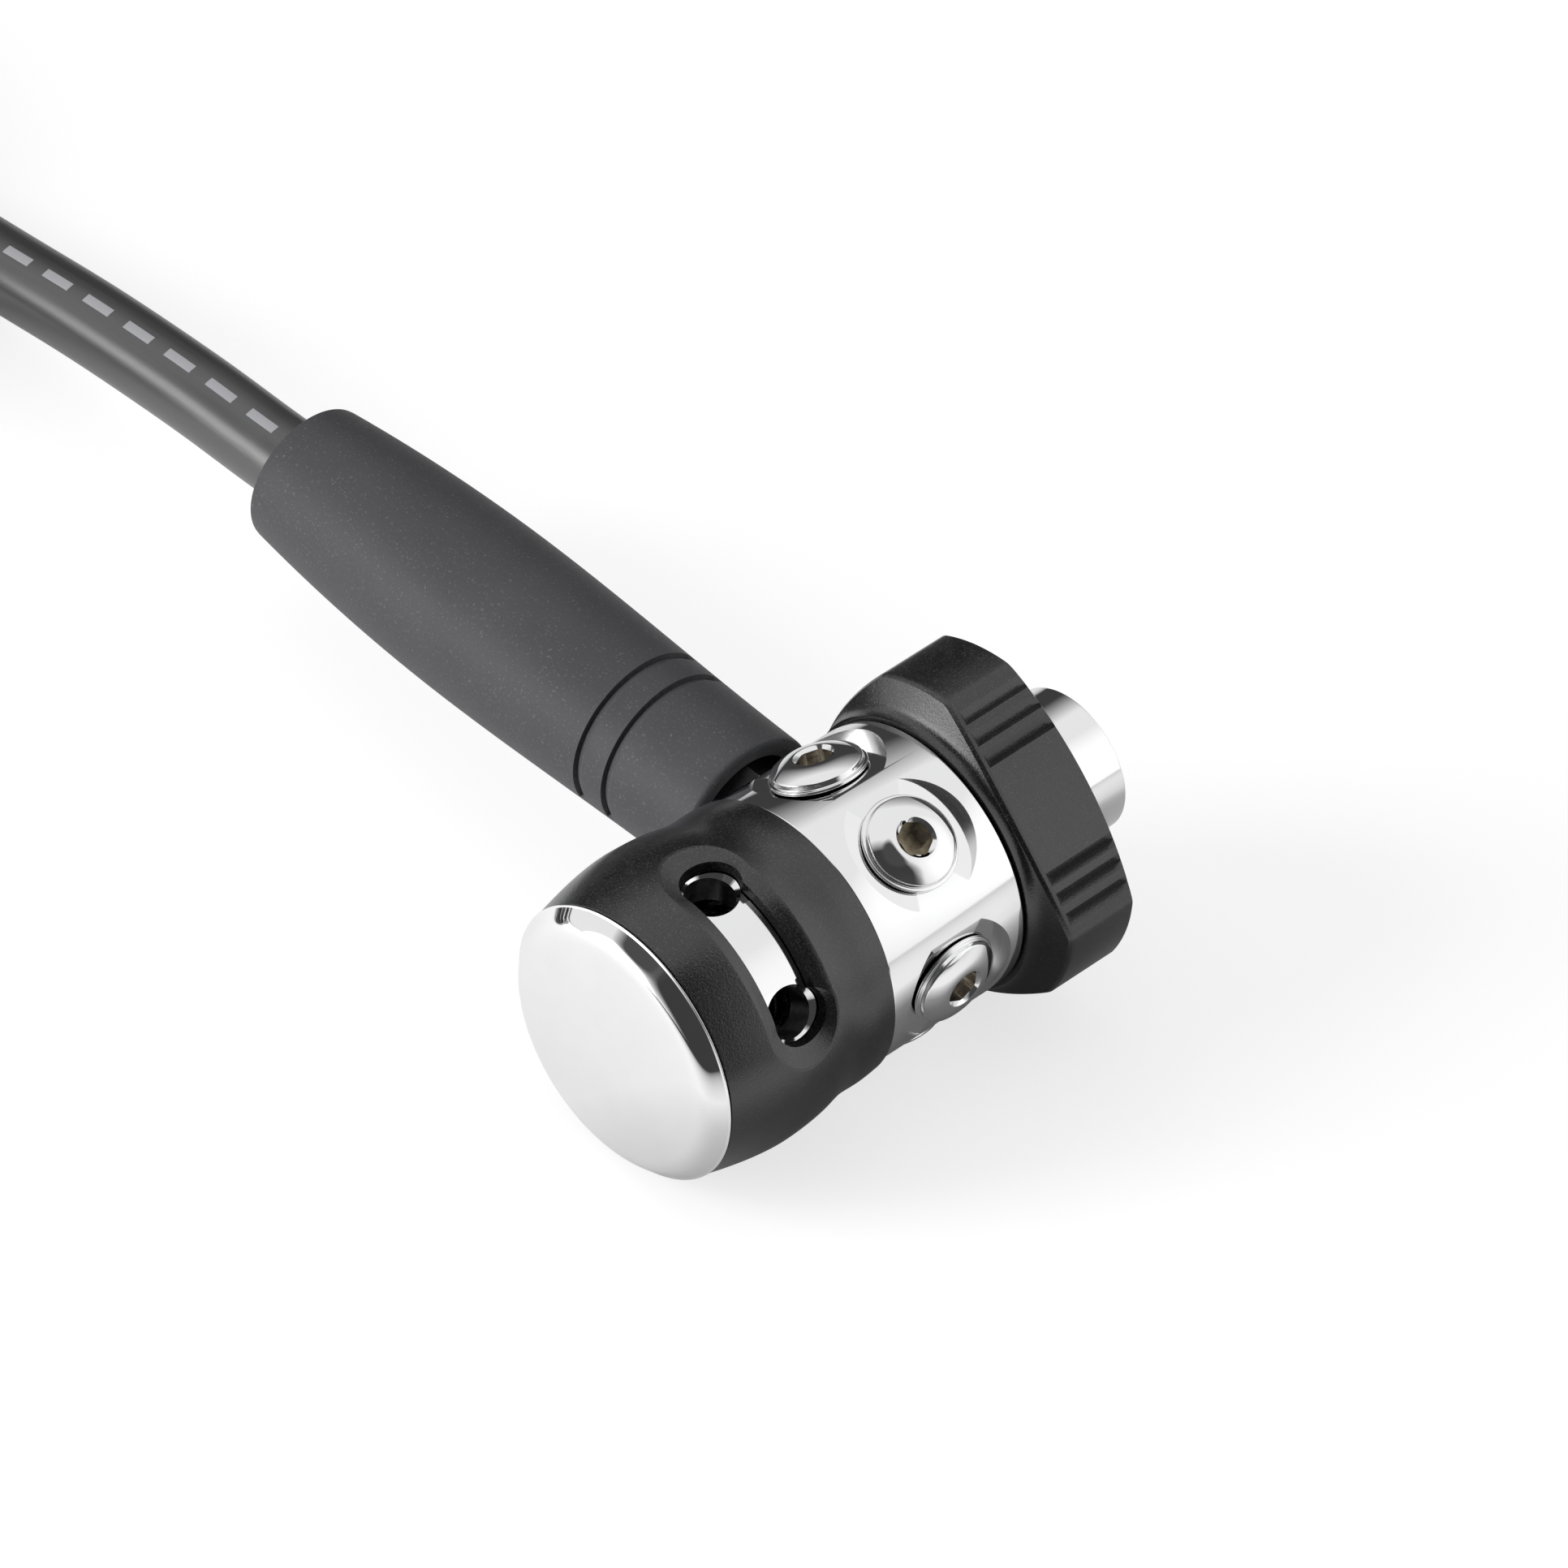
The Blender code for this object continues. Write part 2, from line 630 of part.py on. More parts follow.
def window_cutter(name, angle, surface):
    """A curved slot with sloping walls, made as a strip so that its faces follow the collar."""
    foot = COLLAR_BORE + WINDOW_WALL
    outside = surface + WINDOW_WALL
    spread_outside = (outside - foot) / (surface - foot)
    levels = [(COLLAR_BORE - WINDOW_WALL, 0.0), (foot, 0.0), (outside, spread_outside)]
    build = bmesh.new()
    rings = []
    for radius, spread in levels:
        front, back = window_section(radius, spread, surface)
        lower = [build.verts.new(point) for point in front]
        upper = [lower[0]] + [build.verts.new(point) for point in back[1:-1]] + [lower[-1]]
        rings.append((lower, upper))
    for (low_a, up_a), (low_b, up_b) in zip(rings, rings[1:]):
        for row_a, row_b in ((low_a, low_b), (up_a, up_b)):
            for i in range(len(row_a) - 1):
                build.faces.new((row_a[i], row_a[i + 1], row_b[i + 1], row_b[i]))
    for lower, upper in (rings[0], rings[-1]):
        for i in range(len(lower) - 1):
            corners = [lower[i], lower[i + 1], upper[i + 1], upper[i]]
            build.faces.new(list(dict.fromkeys(corners)))
    bmesh.ops.recalc_face_normals(build, faces=build.faces)
    mesh = bpy.data.meshes.new(name)
    build.to_mesh(mesh)
    build.free()
    frame = empty(name + "_frame", AXIS, (0, 0, 0), (0, 0, math.radians(angle)))
    return add_object(name, mesh, None, frame, cutter=True)


def make_collar():
    outer = collar_profile()
    profile = list(reversed(outer)) + [(COLLAR_BORE, GAP), (COLLAR_BORE, GAP + COLLAR_LENGTH)]
    collar = turned("collar", profile, BLACK_PLASTIC, AXIS)
    surface = max(radius for radius, height in outer)
    for angle in WINDOW_ANGLES:
        cut(collar, window_cutter(f"cut_window_{angle:.0f}", angle, surface))


def make_piston():
    groove_bottom = PISTON_HEAD_RADIUS - HEAD_RING_CORD - GAP
    middle = (PISTON_HEAD_START + PISTON_HEAD_END) / 2
    groove_start = middle - HEAD_RING_CORD / 2 - GAP
    groove_end = middle + HEAD_RING_CORD / 2 + GAP
    pocket = SEAT_RADIUS + GAP
    turned(
        "piston",
        [
            (PISTON_STEM_RADIUS, PISTON_STEM_END),
            (PISTON_STEM_RADIUS, PISTON_HEAD_END),
            (PISTON_HEAD_RADIUS, PISTON_HEAD_END),
            (PISTON_HEAD_RADIUS, groove_end),
            (groove_bottom, groove_end),
            (groove_bottom, groove_start),
            (PISTON_HEAD_RADIUS, groove_start),
            (PISTON_HEAD_RADIUS, PISTON_HEAD_START),
            (PISTON_BORE_RADIUS, PISTON_HEAD_START),
            (PISTON_BORE_RADIUS, PISTON_STEM_END - SEAT_THICKNESS),
            (pocket, PISTON_STEM_END - SEAT_THICKNESS),
            (pocket, PISTON_STEM_END),
        ],
        BRASS,
        PISTON_AXIS,
        SMALL_STEPS,
    )
    seat_end = PISTON_STEM_END + GAP
    turned(
        "piston_seat",
        [
            (0, seat_end),
            (SEAT_RADIUS, seat_end),
            (SEAT_RADIUS, seat_end - SEAT_THICKNESS),
            (0, seat_end - SEAT_THICKNESS),
        ],
        WHITE_PLASTIC,
        PISTON_AXIS,
        RING_STEPS,
    )
    seal("piston_head_o_ring", groove_bottom, HEAD_RING_CORD, groove_start + GAP, PISTON_AXIS)
    seal("piston_stem_o_ring", PISTON_STEM_RADIUS, STEM_RING_CORD, STEM_RING_START, AXIS)


def make_spring():
    """The main spring, from the piston's head to the shim on the chamber's floor."""
    low = PISTON_HEAD_END + GAP + SPRING_WIRE / 2
    high = SHIM_START - GAP - SPRING_WIRE / 2
    count = round(SPRING_TURNS * SPRING_TURN_STEPS)
    points = []
    for i in range(count + 1):
        turn = 2 * math.pi * i / SPRING_TURN_STEPS
        height = low + (high - low) * i / count
        points.append(Vector((SPRING_RADIUS * math.cos(turn), SPRING_RADIUS * math.sin(turn), height)))
    gap = least_gap(points, SPRING_WIRE, SPRING_TURN_STEPS)
    print(f"main_spring: least gap between coils {gap / MM:.2f} mm")
    tube("main_spring", points, SPRING_WIRE / 2, CORD_SIDES, SPRING_STEEL, AXIS)
    inner = GUIDE_RADIUS + GAP
    outer = SPRING_RADIUS + SPRING_WIRE / 2 + GAP
    turned(
        "spring_shim",
        [
            (outer, SHIM_START + SHIM_THICKNESS),
            (outer, SHIM_START),
            (inner, SHIM_START),
            (inner, SHIM_START + SHIM_THICKNESS),
        ],
        SPRING_STEEL,
        AXIS,
        RING_STEPS,
    )


def least_gap(points, thickness, skip):
    """The least clear distance between stretches of a tube that are half a turn or more apart."""
    nearest = math.inf
    for i, point in enumerate(points):
        for other in points[i + skip // 2 + 1:]:
            nearest = min(nearest, (point - other).length)
    return nearest - thickness


def make_inlet():
    flange_start = INLET_BORE_START + GAP
    nozzle_radius = THROAT_RADIUS - GAP
    turned(
        "orifice_crown",
        [
            (STEM_RADIUS, flange_start + CROWN_FLANGE),
            (STEM_RADIUS, flange_start),
            (nozzle_radius, flange_start),
            (nozzle_radius, CROWN_TIP + CROWN_CONE),
            (CROWN_TIP_RADIUS, CROWN_TIP),
            (CROWN_BORE_RADIUS, CROWN_TIP),
            (CROWN_BORE_RADIUS, flange_start + CROWN_FLANGE),
        ],
        BRASS,
        AXIS,
        SMALL_STEPS,
    )
    start = STEM_START + GAP
    ring_groove = STEM_RADIUS - INLET_RING_CORD - GAP
    ring_start = start + INLET_RING_CORD
    ring_end = ring_start + INLET_RING_CORD + 2 * GAP
    pocket_start = STEM_END - FILTER_POCKET_DEPTH
    face_low = FACE_RING_RADIUS - FACE_RING_CORD / 2 - GAP
    face_high = FACE_RING_RADIUS + FACE_RING_CORD / 2 + GAP
    face_bottom = STEM_END - FACE_RING_CORD
    turned(
        "inlet_stem",
        [
            (face_high, STEM_END),
            (STEM_HEAD_RADIUS, STEM_END),
            (STEM_HEAD_RADIUS, STEM_HEAD_START),
            (STEM_RADIUS, STEM_HEAD_START),
            (STEM_RADIUS, ring_end),
            (ring_groove, ring_end),
            (ring_groove, ring_start),
            (STEM_RADIUS, ring_start),
            (STEM_RADIUS, start),
            (STEM_BORE_RADIUS, start),
            (STEM_BORE_RADIUS, pocket_start),
            (FILTER_POCKET_RADIUS, pocket_start),
            (FILTER_POCKET_RADIUS, STEM_END),
            (face_low, STEM_END),
            (face_low, face_bottom),
            (face_high, face_bottom),
        ],
        CHROME,
        AXIS,
        SMALL_STEPS,
    )
    seal("inlet_stem_o_ring", ring_groove, INLET_RING_CORD, ring_start + GAP, AXIS)
    seal("inlet_face_o_ring", face_low, FACE_RING_CORD, face_bottom + GAP, AXIS)
    filter_radius = FILTER_POCKET_RADIUS - GAP
    filter_start = pocket_start + GAP
    filter_end = filter_start + FILTER_THICKNESS
    turned(
        "filter",
        [
            (0, filter_end + FILTER_DOME),
            (filter_radius * 0.5, filter_end + FILTER_DOME * 0.75),
            (filter_radius, filter_end),
            (filter_radius, filter_start),
            (0, filter_start),
        ],
        BRONZE,
        AXIS,
        SMALL_STEPS,
    )
    clip_radius = FILTER_POCKET_RADIUS - GAP - CLIP_WIRE / 2
    clip_height = filter_end + GAP + CLIP_WIRE
    half_open = math.radians(CLIP_OPENING / 2)
    clip = []
    for i in range(RING_STEPS + 1):
        turn = half_open + i / RING_STEPS * (2 * math.pi - 2 * half_open)
        clip.append((clip_radius * math.cos(turn), clip_radius * math.sin(turn), clip_height))
    tube("filter_clip", clip, CLIP_WIRE / 2, CORD_SIDES, SPRING_STEEL, AXIS)


def make_handwheel():
    plain = wheel_outline(grooved=False)
    grooved = wheel_outline(grooved=True)
    dish = WHEEL_FRONT + WHEEL_DISH_DEPTH

    def round_ring(radius, height):
        return [(x * radius / math.hypot(x, y), y * radius / math.hypot(x, y), height) for x, y in plain]

    def lobed_ring(outline, height, slope=0.0, inset=0.0):
        ring = []
        for x, y in outline:
            reach = math.hypot(x, y)
            share = 1 - inset / reach
            ring.append((x * share, y * share, height + slope * (reach - WHEEL_FLAT_RADIUS)))
        return ring

    hub_rise = WHEEL_FLAT_RADIUS - WHEEL_HUB_RADIUS
    sections = [
        round_ring(WHEEL_BORE, WHEEL_FRONT),
        round_ring(WHEEL_HUB_RADIUS, WHEEL_FRONT),
        round_ring(WHEEL_HUB_RADIUS + 0.1 * hub_rise, WHEEL_FRONT + 0.5 * WHEEL_DISH_DEPTH),
        round_ring(WHEEL_HUB_RADIUS + 0.5 * hub_rise, WHEEL_FRONT + 0.85 * WHEEL_DISH_DEPTH),
        lobed_ring(plain, dish, WHEEL_FACE_SLOPE),
        lobed_ring(grooved, dish + GROOVE_RUN_OUT, WHEEL_FACE_SLOPE),
        lobed_ring(grooved, WHEEL_REAR - WHEEL_EDGE),
        lobed_ring(plain, WHEEL_REAR, inset=GROOVE_DEPTH),
        round_ring(WHEEL_BORE, WHEEL_REAR),
    ]
    lofted("handwheel_grip", sections, BLACK_PLASTIC, WHEEL_AXIS, closed=True)
    core_start = WHEEL_FRONT + WASHER_THICKNESS + GAP
    turned(
        "handwheel_core",
        [
            (SPIGOT_RADIUS - SPIGOT_EDGE, SPIGOT_END),
            (SPIGOT_RADIUS - 0.3 * SPIGOT_EDGE, SPIGOT_END - 0.3 * SPIGOT_EDGE),
            (SPIGOT_RADIUS, SPIGOT_END - SPIGOT_EDGE),
            (SPIGOT_RADIUS, WHEEL_REAR - GAP),
            (CORE_HUB_RADIUS, WHEEL_REAR - GAP),
            (CORE_HUB_RADIUS, core_start),
            (CORE_BORE, core_start),
            (CORE_BORE, STEM_HEAD_START - GAP),
            (CORE_COUNTERBORE, STEM_HEAD_START - GAP),
            (CORE_COUNTERBORE, SPIGOT_END),
        ],
        CHROME,
        WHEEL_AXIS,
        MIDDLE_STEPS,
    )
    turned(
        "handwheel_washer",
        [
            (CORE_BORE + WASHER_WIDTH, WHEEL_FRONT + WASHER_THICKNESS),
            (CORE_BORE + WASHER_WIDTH, WHEEL_FRONT),
            (CORE_BORE, WHEEL_FRONT),
            (CORE_BORE, WHEEL_FRONT + WASHER_THICKNESS),
        ],
        WHITE_PLASTIC,
        AXIS,
        SMALL_STEPS,
    )


def make_plugs():
    """Button-head plugs. Heights run along each port, from the body's axis outwards."""
    seat = PORT_FLAT + GAP
    flange = seat + PLUG_FLANGE_THICKNESS
    rim = flange + PLUG_RIM_THICKNESS
    top = rim + PLUG_DOME_HEIGHT
    socket_edge = PLUG_SOCKET_WIDTH / 2 * HEX_CORNER + PLUG_SOCKET_BEVEL
    ring_groove = PLUG_SHANK_RADIUS - PLUG_RING_CORD - GAP
    ring_low = PORT_FLAT - 2 * GAP - PLUG_RING_CORD
    shank_end = PORT_FLAT - PLUG_SHANK_LENGTH
    dome_middle = (PLUG_HEAD_RADIUS + socket_edge) / 2
    sections = [
        hex_ring(PLUG_SOCKET_WIDTH, top - PLUG_SOCKET_DEPTH),
        hex_ring(PLUG_SOCKET_WIDTH, top - PLUG_SOCKET_BEVEL),
        circle_ring(socket_edge, top),
        circle_ring(dome_middle, rim + 0.68 * PLUG_DOME_HEIGHT),
        circle_ring(PLUG_HEAD_RADIUS, rim),
        circle_ring(PLUG_HEAD_RADIUS, flange),
        circle_ring(PLUG_FLANGE_RADIUS, flange),
        circle_ring(PLUG_FLANGE_RADIUS, seat),
        circle_ring(PLUG_SHANK_RADIUS, seat),
        circle_ring(PLUG_SHANK_RADIUS, ring_low + PLUG_RING_CORD + GAP),
        circle_ring(ring_groove, ring_low + PLUG_RING_CORD + GAP),
        circle_ring(ring_groove, ring_low - GAP),
        circle_ring(PLUG_SHANK_RADIUS, ring_low - GAP),
        circle_ring(PLUG_SHANK_RADIUS, shank_end),
    ]
    for number, frame in enumerate(PLUG_PORTS, start=1):
        lofted(f"port_plug_{number}", sections, CHROME, frame)
        seal(f"plug_o_ring_{number}", ring_groove, PLUG_RING_CORD, ring_low, frame)


def make_hose_fitting():
    seat = PORT_FLAT + GAP
    ring_groove = PLUG_SHANK_RADIUS - PLUG_RING_CORD - GAP
    ring_low = PORT_FLAT - 2 * GAP - PLUG_RING_CORD
    shank_end = PORT_FLAT - PLUG_SHANK_LENGTH
    bore = PORT_PASSAGE_RADIUS
    sections = [
        circle_ring(bore, shank_end),
        circle_ring(PLUG_SHANK_RADIUS, shank_end),
        circle_ring(PLUG_SHANK_RADIUS, ring_low - GAP),
        circle_ring(ring_groove, ring_low - GAP),
        circle_ring(ring_groove, ring_low + PLUG_RING_CORD + GAP),
        circle_ring(PLUG_SHANK_RADIUS, ring_low + PLUG_RING_CORD + GAP),
        circle_ring(PLUG_SHANK_RADIUS, seat),
        hex_ring(FITTING_HEX_WIDTH, seat),
        hex_ring(FITTING_HEX_WIDTH, HEX_END),
        circle_ring(bore, HEX_END),
    ]
    lofted("hose_fitting", sections, CHROME, HOSE_PORT, closed=True)
    seal("hose_fitting_o_ring", ring_groove, PLUG_RING_CORD, ring_low, HOSE_PORT)
    ferrule("hose_ferrule", HEX_END + GAP, HOSE_PORT)


def ferrule(name, start, parent):
    """A crimped sleeve, its wall drawn in by two shallow waists."""
    waist = FERRULE_RADIUS - 2 * GAP
    end = start + FERRULE_LENGTH
    profile = [(0, end), (FERRULE_RADIUS, end)]
    for share in (0.8, 0.65, 0.5, 0.35, 0.2):
        radius = waist if share in (0.65, 0.35) else FERRULE_RADIUS
        profile.append((radius, start + share * FERRULE_LENGTH))
    profile += [(FERRULE_RADIUS, start), (0, start)]
    turned(name, profile, CHROME, parent, FITTING_STEPS)


def make_protector():
    """The rubber sleeve that slips over the fitting, the ferrule and the start of the hose."""
    start = PROTECTOR_START
    end = start + PROTECTOR_LENGTH
    wide_bore = max(FITTING_HEX_WIDTH / 2 * HEX_CORNER, FERRULE_RADIUS) + GAP
    hose_bore = HOSE_RADIUS + GAP
    mouth = wide_bore + PROTECTOR_WALL
    tip = mouth - PROTECTOR_TIP_DROP
    bulge = start + PROTECTOR_BULGE_PLACE

    def outer(height):
        if height < bulge:
            return mouth + PROTECTOR_BULGE * smooth_step(height, (start, bulge))
        return tip + (mouth + PROTECTOR_BULGE - tip) * (1 - ((height - bulge) / (end - bulge)) ** 2)

    profile = [(outer(end) - PROTECTOR_EDGE, end), (outer(end), end - PROTECTOR_EDGE)]
    for share in (0.9, 0.75, 0.5, 0.25, 0.0):
        height = bulge + share * (end - bulge)
        profile.append((outer(height), height))
    shoulder = start + 0.75 * PROTECTOR_BULGE_PLACE
    profile.append((outer(shoulder), shoulder))
    for place in reversed(PROTECTOR_GROOVE_PLACES):
        wall = start + place + PROTECTOR_GROOVE_WIDTH
        profile.append((outer(wall), wall))
        profile.append((outer(wall) - PROTECTOR_GROOVE_DEPTH, wall - PROTECTOR_GROOVE_WIDTH / 3))
        profile.append((outer(start + place), start + place))
    profile += [
        (mouth, start + PROTECTOR_EDGE),
        (mouth - PROTECTOR_EDGE, start),
        (wide_bore, start),
        (wide_bore, FERRULE_END + GAP),
        (hose_bore, FERRULE_END + 2 * FERRULE_RADIUS - HOSE_RADIUS),
        (hose_bore, end),
    ]
    turned("hose_protector", profile, DARK_RUBBER, HOSE_PORT, SMALL_STEPS)


def smooth_curve(points, step):
    """Evenly spaced points on a smooth curve through the given ones, about a step apart."""
    fine = []
    for i in range(len(points) - 1):
        before = points[max(i - 1, 0)]
        here = points[i]
        there = points[i + 1]
        after = points[min(i + 2, len(points) - 1)]
        leave = (there - before) / 2
        arrive = (after - here) / 2
        for part in range(12):
            t = part / 12
            fine.append(
                (2 * t ** 3 - 3 * t ** 2 + 1) * here
                + (t ** 3 - 2 * t ** 2 + t) * leave
                + (3 * t ** 2 - 2 * t ** 3) * there
                + (t ** 3 - t ** 2) * arrive
            )
    fine.append(points[-1])
    lengths = [0.0]
    for a, b in zip(fine, fine[1:]):
        lengths.append(lengths[-1] + (b - a).length)
    count = max(round(lengths[-1] / step), 2)
    even = []
    for i in range(count + 1):
        wanted = lengths[-1] * i / count
        k = max(j for j in range(len(fine) - 1) if lengths[j] <= wanted)
        share = (wanted - lengths[k]) / (lengths[k + 1] - lengths[k])
        even.append(fine[k].lerp(fine[k + 1], min(share, 1.0)))
    return even


def hose_points():
    """The hose's route in the world, from the ferrule to the start of the coil."""
    start = HOSE_PORT.matrix_world @ Vector((0, 0, FERRULE_END + GAP))
    out = HOSE_PORT.matrix_world.to_3x3() @ Vector((0, 0, 1))
    straight = PROTECTOR_START + PROTECTOR_LENGTH - FERRULE_END
    ahead = [start + out * share * straight for share in (0.0, 0.5, 1.0)]
    route = [Vector((-away, start.y, height)) for away, height in HOSE_ROUTE]
    return ahead + route


def coil_points(start):
    """The coil's route: a straight entry, a turn and a half that climbs onto its own first
    turn and draws in, and a straight exit towards +X."""
    layer = HOSE_DIAMETER + COIL_LAYER_GAP
    rest_height = start.z
    end_height = 2 * HOSE_RADIUS + NUT_HEX_WIDTH / 2 * HEX_CORNER + COIL_LAYER_GAP
    hump = TIE_THICKNESS + 2 * GAP
    tie_turn = 360 * (TIE_STEPS + 0.5) / COIL_TURN_STEPS
    centre = start + Vector((-HOSE_DIAMETER, -COIL_RADIUS, 0))
    count = round(COIL_TURN / 360 * COIL_TURN_STEPS)
    points = [start]
    for i in range(count + 1):
        turn = COIL_TURN * i / count
        radius = COIL_RADIUS + (COIL_END_RADIUS - COIL_RADIUS) * smooth_step(turn, COIL_DRAW_IN)
        height = rest_height + layer * smooth_step(turn, COIL_CLIMB)
        height += (end_height - rest_height - layer) * smooth_step(turn, COIL_LIFT)
        for passing in (tie_turn, tie_turn + 360):
            height += hump * math.exp(-(((turn - passing) / TIE_HUMP_ANGLE) ** 2))
        angle = math.radians(90 + turn)
        place = centre + Vector((radius * math.cos(angle), radius * math.sin(angle), 0))
        place.z = height
        points.append(place)
    points.append(points[-1] + Vector((HOSE_DIAMETER, 0, 0)))
    return points


def make_hose():
    bpy.context.view_layer.update()
    run = smooth_curve(hose_points(), ROUTE_STEP * HOSE_DIAMETER)
    coil_start = run[-1] + Vector((-GAP, 0, 0))
    coil = coil_points(coil_start)
    tube("hose_run", run, HOSE_RADIUS, HOSE_SIDES, HOSE_RUBBER)
    tube("hose_coil", coil, HOSE_RADIUS, CORD_SIDES, HOSE_RUBBER)
    stretches = run + coil
    length = sum((b - a).length for a, b in zip(stretches, stretches[1:]))
    gap = least_gap(coil, HOSE_DIAMETER, COIL_TURN_STEPS)
    print(f"hose: {length:.3f} m, coil's least gap to itself {gap / MM:.2f} mm")
    make_tie(coil[1:])
    make_far_end(coil[-1])


def make_tie(stations):
    """A band round the two turns of the coil where the second lies on the first."""
    before, after = stations[TIE_STEPS:TIE_STEPS + 2]
    spot = (before + after) / 2
    low = spot.z
    high = stations[TIE_STEPS + COIL_TURN_STEPS].z
    inside = HOSE_RADIUS + GAP
    outside = inside + TIE_THICKNESS
    arc_steps = 8

    def band(radius, along):
        ring = []
        for middle, first in ((high, 0.0), (low, math.pi)):
            for i in range(arc_steps + 1):
                t = first + math.pi * i / arc_steps
                ring.append((radius * math.cos(t), along, middle + radius * math.sin(t)))
        return ring

    half = TIE_WIDTH / 2
    sections = [band(outside, -half), band(outside, half), band(inside, half), band(inside, -half)]
    tie = lofted("coil_tie", sections, TIE_FABRIC, None, closed=True)
    tie.location = (spot.x, spot.y, 0)
    tie.rotation_euler = (0, 0, math.atan2(before.x - after.x, after.y - before.y))


def make_far_end(hose_end):
    """The crimped ferrule, the stem and the free-turning nut, along +X from the hose's end."""
    frame = empty("far_end", None, hose_end + Vector((GAP, 0, 0)), (0, math.pi / 2, 0))
    ferrule("far_ferrule", 0, frame)
    stem_start = FERRULE_LENGTH + GAP
    nut_start = stem_start + GAP
    head_start = nut_start + NUT_LIP + GAP
    head_radius = FAR_STEM_RADIUS + FAR_STEM_HEAD
    ring_groove = FAR_STEM_RADIUS - GAP - FAR_RING_CORD
    ring_low = head_start + FAR_STEM_HEAD + GAP
    tip = ring_low + FAR_RING_CORD + GAP + FAR_STEM_TIP
    turned(
        "far_stem",
        [
            (FAR_STEM_RADIUS, tip),
            (FAR_STEM_RADIUS, ring_low + FAR_RING_CORD + GAP),
            (ring_groove, ring_low + FAR_RING_CORD + GAP),
            (ring_groove, ring_low - GAP),
            (FAR_STEM_RADIUS, ring_low - GAP),
            (head_radius, head_start + FAR_STEM_HEAD / 2),
            (head_radius, head_start),
            (FAR_STEM_RADIUS, head_start),
            (FAR_STEM_RADIUS, stem_start),
            (PISTON_BORE_RADIUS, stem_start),
            (PISTON_BORE_RADIUS, tip),
        ],
        CHROME,
        frame,
        RING_STEPS,
    )
    seal("far_stem_o_ring", ring_groove, FAR_RING_CORD, ring_low, frame)
    nut_end = nut_start + NUT_LENGTH
    lip_bore = FAR_STEM_RADIUS + GAP
    round_radius = NUT_HEX_WIDTH / 2
    nut_frame = empty("swivel_nut_axis", frame)
    sections = [
        circle_ring(lip_bore, nut_start),
        circle_ring(round_radius, nut_start),
        hex_ring(NUT_HEX_WIDTH, nut_start + NUT_EDGE),
        hex_ring(NUT_HEX_WIDTH, nut_end - NUT_EDGE),
        circle_ring(round_radius, nut_end),
        circle_ring(NUT_BORE_RADIUS, nut_end),
        circle_ring(NUT_BORE_RADIUS, nut_start + NUT_LIP),
        circle_ring(lip_bore, nut_start + NUT_LIP),
    ]
    lofted("swivel_nut", sections, CHROME, nut_frame, closed=True)


clear_scene()
PARTS = collection("scuba_regulator_first_stage")
CUTTERS = collection("cutters")

CHROME = finish("chrome", (0.86, 0.87, 0.88), 0.06, 1.0)
BLACK_PLASTIC = finish("black_plastic", (0.022, 0.022, 0.024), 0.42, 0.0)
DARK_RUBBER = finish("protector_rubber", (0.05, 0.05, 0.055), 0.68, 0.0)
HOSE_RUBBER = finish("hose_rubber", (0.03, 0.03, 0.033), 0.4, 0.0)
RUBBER_SEAL = finish("seal_rubber", (0.015, 0.015, 0.015), 0.5, 0.0)
BRASS = finish("brass", (0.78, 0.6, 0.3), 0.25, 1.0)
BRONZE = finish("sintered_bronze", (0.55, 0.42, 0.26), 0.7, 1.0)
SPRING_STEEL = finish("spring_steel", (0.5, 0.5, 0.52), 0.3, 1.0)
WHITE_PLASTIC = finish("white_plastic", (0.85, 0.85, 0.82), 0.4, 0.0)
TIE_FABRIC = finish("tie_fabric", (0.02, 0.02, 0.022), 0.85, 0.0)

# The axis frame: its Z runs along the body, and the wheel's outline sets its height and place
AXIS_HEIGHT = reach_of_wheel(0, -1)
COLLAR_RADIUS = max(radius for radius, height in collar_profile())
AXIS_OFFSET = (max(reach_of_wheel(-1, 0), COLLAR_RADIUS) - max(reach_of_wheel(1, 0), COLLAR_RADIUS)) / 2
FACE_RING_END = STEM_END + GAP
AXIS_START = -(CAP_FRONT + FACE_RING_END) / 2
AXIS = empty("body_axis", None, (AXIS_OFFSET, AXIS_START, AXIS_HEIGHT), (-math.pi / 2, 0, 0))
WHEEL_AXIS = empty("handwheel_axis", AXIS)
PISTON_AXIS = empty("piston_axis", AXIS)
PLUG_PORTS = [port_frame(f"port_{i}", angle) for i, angle in enumerate(PLUG_PORT_ANGLES, start=1)]
HOSE_PORT = port_frame("hose_port", HOSE_PORT_ANGLE)

make_main_body()
make_end_cap()
make_collar()
make_piston()
make_spring()
make_inlet()
make_handwheel()
make_plugs()
make_hose_fitting()
make_protector()
make_hose()
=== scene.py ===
# %% [markdown]
# # The looks of a scuba regulator's first stage
#
# A first stage is the pressure reducer that screws onto a diver's tank. This lesson dresses its
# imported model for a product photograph: mirror chrome, satin black plastic, a rubber sleeve and
# a hose. Every piece rides on a body of the model, so the moving parts keep moving.

import json
import math

import bmesh
import bpy
import numpy as np
from mathutils import Euler, Matrix, Vector


